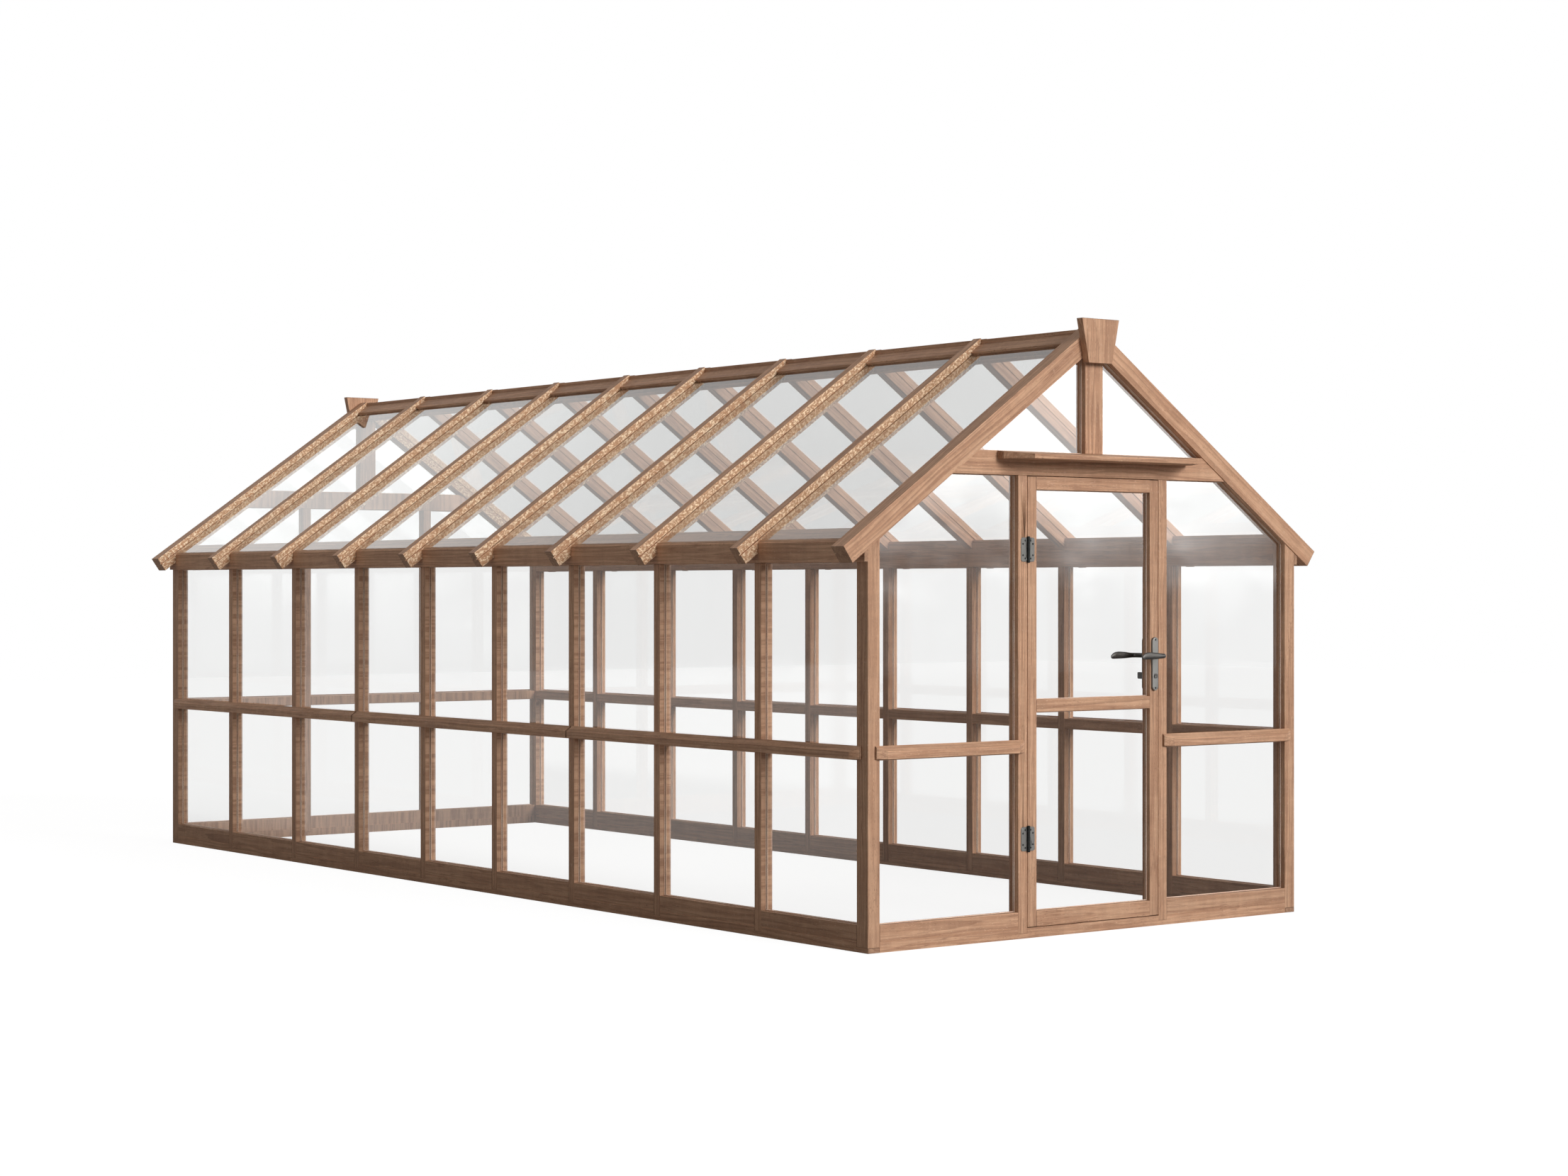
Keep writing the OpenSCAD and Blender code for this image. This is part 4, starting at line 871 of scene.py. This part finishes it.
STRIPS = strip_tree()
STRIP_FINISH = strip_finish()
STRIP_RUNS = {
    "wall_glazing_strips": (["glass_front", "glass_rear", "glass_left", "glass_right"], WALL_BITE),
    "door_glazing_strips": (["door_glass"], DOOR_BITE),
}
for name, (nodes, bite) in STRIP_RUNS.items():
    points = []
    edges = []
    for node in nodes:
        more_points, more_edges = sight_lines(node, bite)
        edges += [(a + len(points), b + len(points)) for a, b in more_edges]
        points += more_points
    strip_values = {"Radius": STRIP_R, "Sides": STRIP_SIDES, "Finish": STRIP_FINISH}
    piece = grown(name, points, STRIPS, strip_values, edges)
    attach(piece, frame["nodes"][nodes[0]]["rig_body"])
    print(name, len(piece.data.polygons), "faces")

# %% [markdown]
# ## Fittings
# The hinges, backplates and levers are cast or pressed metal with a satin grey finish. It is not a mirror:
# its roughness varies where hands have rubbed it, a fine speckle breaks up its highlights, and its edges are
# worn a little brighter.

# %% Metal materials
def satin_metal(name, colour, rough, speckle):
    """Cast or pressed metal of a colour and roughness, with a share of bright speckle."""
    material, tree, surface = new_material(name)
    place = put(tree, "ShaderNodeTexCoord").outputs["Object"]
    arris = put(tree, "ShaderNodeAttribute", attribute_name="arris").outputs["Fac"]
    fine = noise(tree, scaled(tree, place, (900.0, 900.0, 900.0)), 2.0)
    rubbed = noise(tree, scaled(tree, place, (40.0, 40.0, 40.0)), 3.0)
    shade = mixed(tree, between(tree, rubbed, 0.3, 0.7, 0.0, 0.35), colour,
                  tuple(0.75 * part for part in colour[:3]) + (1,))
    bright = tuple(1.25 * part for part in colour[:3]) + (1,)
    shade = mixed(tree, between(tree, fine, 0.4, 0.7, 0.0, speckle), shade, bright)
    shade = mixed(tree, number(tree, "MULTIPLY", arris, 0.6), shade, bright)
    tree.links.new(shade, surface.inputs["Base Color"])
    tree.links.new(between(tree, rubbed, 0.3, 0.7, rough + 0.08, rough - 0.08), surface.inputs["Roughness"])
    surface.inputs["Metallic"].default_value = 0.85
    bump = put(tree, "ShaderNodeBump", {"Height": fine, "Strength": 0.25, "Distance": 0.05 * MM})
    tree.links.new(bump.outputs[0], surface.inputs["Normal"])
    return material


PLATE_METAL = satin_metal("satin_grey", (0.205, 0.2, 0.188, 1), 0.5, 0.12)
HINGE_METAL = satin_metal("hinge_grey", (0.16, 0.156, 0.146, 1), 0.55, 0.12)
BARREL_METAL = satin_metal("hinge_barrel", (0.018, 0.019, 0.018, 1), 0.5, 0.3)
LEVER_METAL = satin_metal("pewter", (0.1, 0.094, 0.088, 1), 0.42, 0.2)
SCREW_METAL = satin_metal("dark_steel", (0.022, 0.022, 0.022, 1), 0.5, 0.15)
BOLT_METAL = satin_metal("brass", (0.55, 0.42, 0.22, 1), 0.35, 0.15)

METAL_NODES = {
    "strike_plate": PLATE_METAL, "lock_case": PLATE_METAL, "hinge_pins": BARREL_METAL, "spindle": SCREW_METAL,
    "latch_bolt": BOLT_METAL, "dead_bolt": BOLT_METAL,
}
for node, material in METAL_NODES.items():
    refinish(node, material)
print("metal nodes that keep their packed mesh:", len(METAL_NODES))

# %% [markdown]
# ## Plates, hinges and the thumb turn
# Cast plates have soft outer edges. The backplates' front edges get a two millimetre round, and the hinge
# leaves and the thumb turn get a fine one. The round parts of the thumb turn that run in bores are drawn in
# by a hair, so that they can't graze the bores in any pose. The hinge barrels are made much darker than the
# leaves, so the faces that lie close round the pin get a second material.

# %% Eased plates
SMOOTH = math.radians(25)
PLATE_ROUND = 2 * MM
PLATE_SHORTEST = 1.6 * MM
LEAF_ROUND = 0.5 * MM
LEAF_SHORTEST = 1.2 * MM
TURN_ROUND = 0.6 * MM
TURN_SHORTEST = 0.6 * MM
BORE_AIR = 0.3 * MM
BORED_PARTS = (4.5 * MM, 6.1 * MM)
BARREL_R = 6.6 * MM

plate_low, plate_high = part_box("backplates")


def is_outer_rim(edge):
    """True for the edges that are furthest from the door on either side of it."""
    places = [vert.co.y for vert in edge.verts]
    return max(places) < plate_low[1] + MM or min(places) > plate_high[1] - MM


bm = merged_copy("backplates")
print("backplate edges rounded:", ease_arrises(bm, PLATE_ROUND, PLATE_SHORTEST, 4, is_outer_rim))
as_piece(bm, "backplates_cast", "backplates", [PLATE_METAL], SMOOTH)

bm = merged_copy("thumb_turn")
print("thumb turn edges rounded:", ease_arrises(bm, TURN_ROUND, TURN_SHORTEST))
turn_low, turn_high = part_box("thumb_turn")
turn_axis = Vector(((turn_low[0] + turn_high[0]) / 2, 0.0, (turn_low[2] + turn_high[2]) / 2))
for vert in bm.verts:
    out = Vector((vert.co.x, 0.0, vert.co.z)) - turn_axis
    if BORED_PARTS[0] < out.length < BORED_PARTS[1]:
        vert.co -= BORE_AIR * out.normalized()
as_piece(bm, "thumb_turn_cast", "thumb_turn", [LEVER_METAL], SMOOTH)

pin_low, pin_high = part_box("hinge_pins")
pin_x = (pin_low[0] + pin_high[0]) / 2
pin_y = (pin_low[1] + pin_high[1]) / 2
for node in ("hinge_frame_leaves", "hinge_door_leaves"):
    bm = merged_copy(node)
    count = ease_arrises(bm, LEAF_ROUND, LEAF_SHORTEST)
    for face in bm.faces:
        middle = face.calc_center_median()
        if math.hypot(middle.x - pin_x, middle.y - pin_y) < BARREL_R:
            face.material_index = 1
    as_piece(bm, node + "_pressed", node, [HINGE_METAL, BARREL_METAL], SMOOTH)
    print(node, "edges rounded:", count)

# %% [markdown]
# ## Levers
# A lever is one flowing bar. Its section starts as a circle on the neck, turns a quarter bend, and flattens
# and widens to a paddle that droops to a rounded tip. A few rows give the half thickness, the half height and
# the rise at places along the bar. A smooth curve joins the rows, and rings of points are strung along it.

# %% Swept levers
SPINDLE_X = 0.343
LEVER_Z = 1.133
NECK_START = 2.0
NECK_END = 50.0
BEND_R = 20.0
SECTION_SIDES = 28
SECTION_POWER = 0.88
STEPS_PER_ROW = 4
LEVER_SMOOTH = math.radians(50)
# Way along the bar, half thickness, half height and rise, in millimetres
LEVER_ROWS = [
    (0.0, 10.0, 10.0, 0.0), (30.0, 10.0, 10.0, 0.0), (48.0, 10.0, 10.0, 0.0), (64.0, 9.7, 10.0, 0.0),
    (79.4, 9.2, 10.3, 0.0), (94.0, 8.2, 11.5, 0.3), (110.0, 7.1, 13.1, 0.8), (130.0, 6.3, 14.3, 1.3),
    (149.0, 5.7, 14.9, 1.5), (163.0, 5.5, 14.7, 1.1), (173.0, 5.3, 13.9, 0.1), (180.0, 5.0, 12.7, -1.2),
    (186.0, 4.7, 10.9, -2.8), (190.8, 4.1, 8.5, -3.9), (193.8, 3.1, 5.7, -4.6), (195.2, 1.7, 2.8, -4.9),
]


def eased_rows(rows, steps):
    """Rows of numbers with smooth steps between them that pass through every row."""
    rows = np.array([rows[0], *rows, rows[-1]])
    made = []
    for i in range(1, len(rows) - 2):
        a, b, c, d = rows[i - 1:i + 3]
        for t in np.arange(steps) / steps:
            made.append(
                b + 0.5 * t * (c - a + t * (2 * a - 5 * b + 4 * c - d + t * (3 * (b - c) + d - a)))
            )
    return made + [rows[-2]]


def on_bar(way):
    """The bar's middle and the direction of its thickness, in plan, at a way along it in millimetres."""
    bend = (way - (NECK_END - NECK_START)) / BEND_R
    if bend < 0:
        return (0.0, -NECK_START - way), (1.0, 0.0)
    if bend < math.pi / 2:
        return (
            (BEND_R * (math.cos(bend) - 1), -NECK_END - BEND_R * math.sin(bend)),
            (math.cos(bend), -math.sin(bend)),
        )
    return (-BEND_R * (1 + bend - math.pi / 2), -NECK_END - BEND_R), (0.0, -1.0)


def add_lever(bm, face_y, outward):
    """One lever on the door's face at face_y; outward is -1 in front of the door and 1 behind it."""
    rings = []
    for way, half_t, half_h, rise in eased_rows(LEVER_ROWS, STEPS_PER_ROW):
        middle, across = on_bar(way)
        ring = []
        for side in range(SECTION_SIDES):
            turn = 2 * math.pi * side / SECTION_SIDES
            flat = math.copysign(abs(math.cos(turn)) ** SECTION_POWER, math.cos(turn)) * half_t
            tall = math.copysign(abs(math.sin(turn)) ** SECTION_POWER, math.sin(turn)) * half_h
            x = SPINDLE_X + (middle[0] + flat * across[0]) * MM
            y = face_y - outward * (middle[1] + flat * across[1]) * MM
            ring.append(bm.verts.new((x, y, LEVER_Z + (rise + tall) * MM)))
        rings.append(ring)
    for ring, following in zip(rings, rings[1:]):
        for side in range(SECTION_SIDES):
            after = (side + 1) % SECTION_SIDES
            bm.faces.new((ring[side], ring[after], following[after], following[side]))
    bm.faces.new(rings[0])
    bm.faces.new(rings[-1])


door_low, door_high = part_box("door_stiles")
bm = bmesh.new()
add_lever(bm, door_low[1], -1)
add_lever(bm, door_high[1], 1)
bmesh.ops.recalc_face_normals(bm, faces=bm.faces)
print("lever faces:", len(bm.faces))
as_piece(bm, "levers_cast", "levers", [LEVER_METAL], LEVER_SMOOTH)

# %% [markdown]
# ## Screws
# Geometry Nodes make one countersunk screw and set it on a point for each screw. The cross in the head is cut
# with a Mesh Boolean node, and each screw is turned by a random angle, because nobody lines them up. The
# through bolts of the backplates show a head on either side of the door, so they are two runs of half bolts.

# %% A tree for screws
RECESS_W = 1.0 * MM
RECESS_L = 4.6 * MM
RECESS_D = 1.2 * MM
HEAD_SIDES = 20
SHANK_SIDES = 12


def screw_tree():
    """Sets a countersunk screw with a cut cross on each point and turns it at random."""
    tree, given = new_tree("screws", [
        ("Head radius", "Float"), ("Head height", "Float"), ("Shank radius", "Float"), ("Length", "Float"),
        ("Facing", "Vector"), ("Seed", "Int"), ("Finish", "Material"),
    ])
    out = given.outputs
    head = put(tree, "GeometryNodeMeshCone", {
        "Vertices": HEAD_SIDES, "Radius Top": out["Head radius"], "Radius Bottom": out["Shank radius"],
        "Depth": out["Head height"],
    })
    sunk = number(tree, "MULTIPLY", out["Head height"], -1.0)
    down = put(tree, "ShaderNodeCombineXYZ", {2: sunk})
    head = put(tree, "GeometryNodeTransform", {"Geometry": head.outputs[0], "Translation": down.outputs[0]})
    slots = [
        put(tree, "GeometryNodeMeshCube", {"Size": size})
        for size in ((RECESS_L, RECESS_W, 2 * RECESS_D), (RECESS_W, RECESS_L, 2 * RECESS_D))
    ]
    cut = put(tree, "GeometryNodeMeshBoolean", {0: head.outputs[0]}, operation="DIFFERENCE")
    for slot in slots:
        tree.links.new(slot.outputs[0], cut.inputs[1])
    shank_l = number(tree, "SUBTRACT", out["Length"], out["Head height"])
    shank = put(tree, "GeometryNodeMeshCylinder",
                {"Vertices": SHANK_SIDES, "Radius": out["Shank radius"], "Depth": shank_l})
    shank_mid = number(tree, "MULTIPLY", number(tree, "ADD", out["Length"], out["Head height"]), -0.5)
    shank = put(tree, "GeometryNodeTransform",
                {"Geometry": shank.outputs[0],
                 "Translation": put(tree, "ShaderNodeCombineXYZ", {2: shank_mid}).outputs[0]})
    whole = tree.nodes.new("GeometryNodeJoinGeometry")
    tree.links.new(cut.outputs[0], whole.inputs[0])
    tree.links.new(shank.outputs[0], whole.inputs[0])
    placed = put(tree, "GeometryNodeInstanceOnPoints",
                 {"Points": out["Geometry"], "Instance": whole.outputs[0], "Rotation": out["Facing"]})
    angle = put(tree, "FunctionNodeRandomValue", {2: 0.0, 3: math.pi, "Seed": out["Seed"]}, data_type="FLOAT")
    spin = put(tree, "ShaderNodeCombineXYZ", {2: angle.outputs[1]})
    turned = put(tree, "GeometryNodeRotateInstances",
                 {"Instances": placed.outputs[0], "Rotation": spin.outputs[0]})
    end_tree(tree, turned.outputs[0], out["Finish"])
    return tree


SCREWS = screw_tree()
OUT_OF_FRONT = (math.radians(90), 0.0, 0.0)
OUT_OF_BACK = (math.radians(-90), 0.0, 0.0)

# %% [markdown]
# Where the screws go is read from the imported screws: the middle of each one, and the y of its head.

# %% Screws in their places
def head_places(node, behind=False):
    """The middle of the head of each of a node's screws."""
    bm = merged_copy(node)
    places = []
    for members in solids_of(bm):
        low = [min(vert.co[i] for vert in members) for i in range(3)]
        high = [max(vert.co[i] for vert in members) for i in range(3)]
        places.append(((low[0] + high[0]) / 2, high[1] if behind else low[1], (low[2] + high[2]) / 2))
    bm.free()
    return places


HINGE_SCREW = {"Head radius": 3.9 * MM, "Head height": 2 * MM, "Shank radius": 2.2 * MM, "Length": 30 * MM}
HALF_BOLT = {"Head radius": 3.9 * MM, "Head height": 2 * MM, "Shank radius": 2 * MM, "Length": 33.5 * MM}
FIRST_SCREW_SEED = 11
SCREW_RUNS = [
    ("hinge_frame_screws", "hinge_frame_screws", HINGE_SCREW, False),
    ("hinge_door_screws", "hinge_door_screws", HINGE_SCREW, False),
    ("backplate_bolts_front", "backplate_bolts", HALF_BOLT, False),
    ("backplate_bolts_back", "backplate_bolts", HALF_BOLT, True),
]
for seed, (name, node, sizes, behind) in enumerate(SCREW_RUNS):
    places = head_places(node, behind)
    piece = grown(name + "_turned", places, SCREWS, {
        **sizes, "Facing": OUT_OF_BACK if behind else OUT_OF_FRONT, "Seed": seed + FIRST_SCREW_SEED,
        "Finish": SCREW_METAL,
    })
    finish_piece(piece, node)
    print(name, len(places), "screws,", len(piece.data.polygons), "faces")
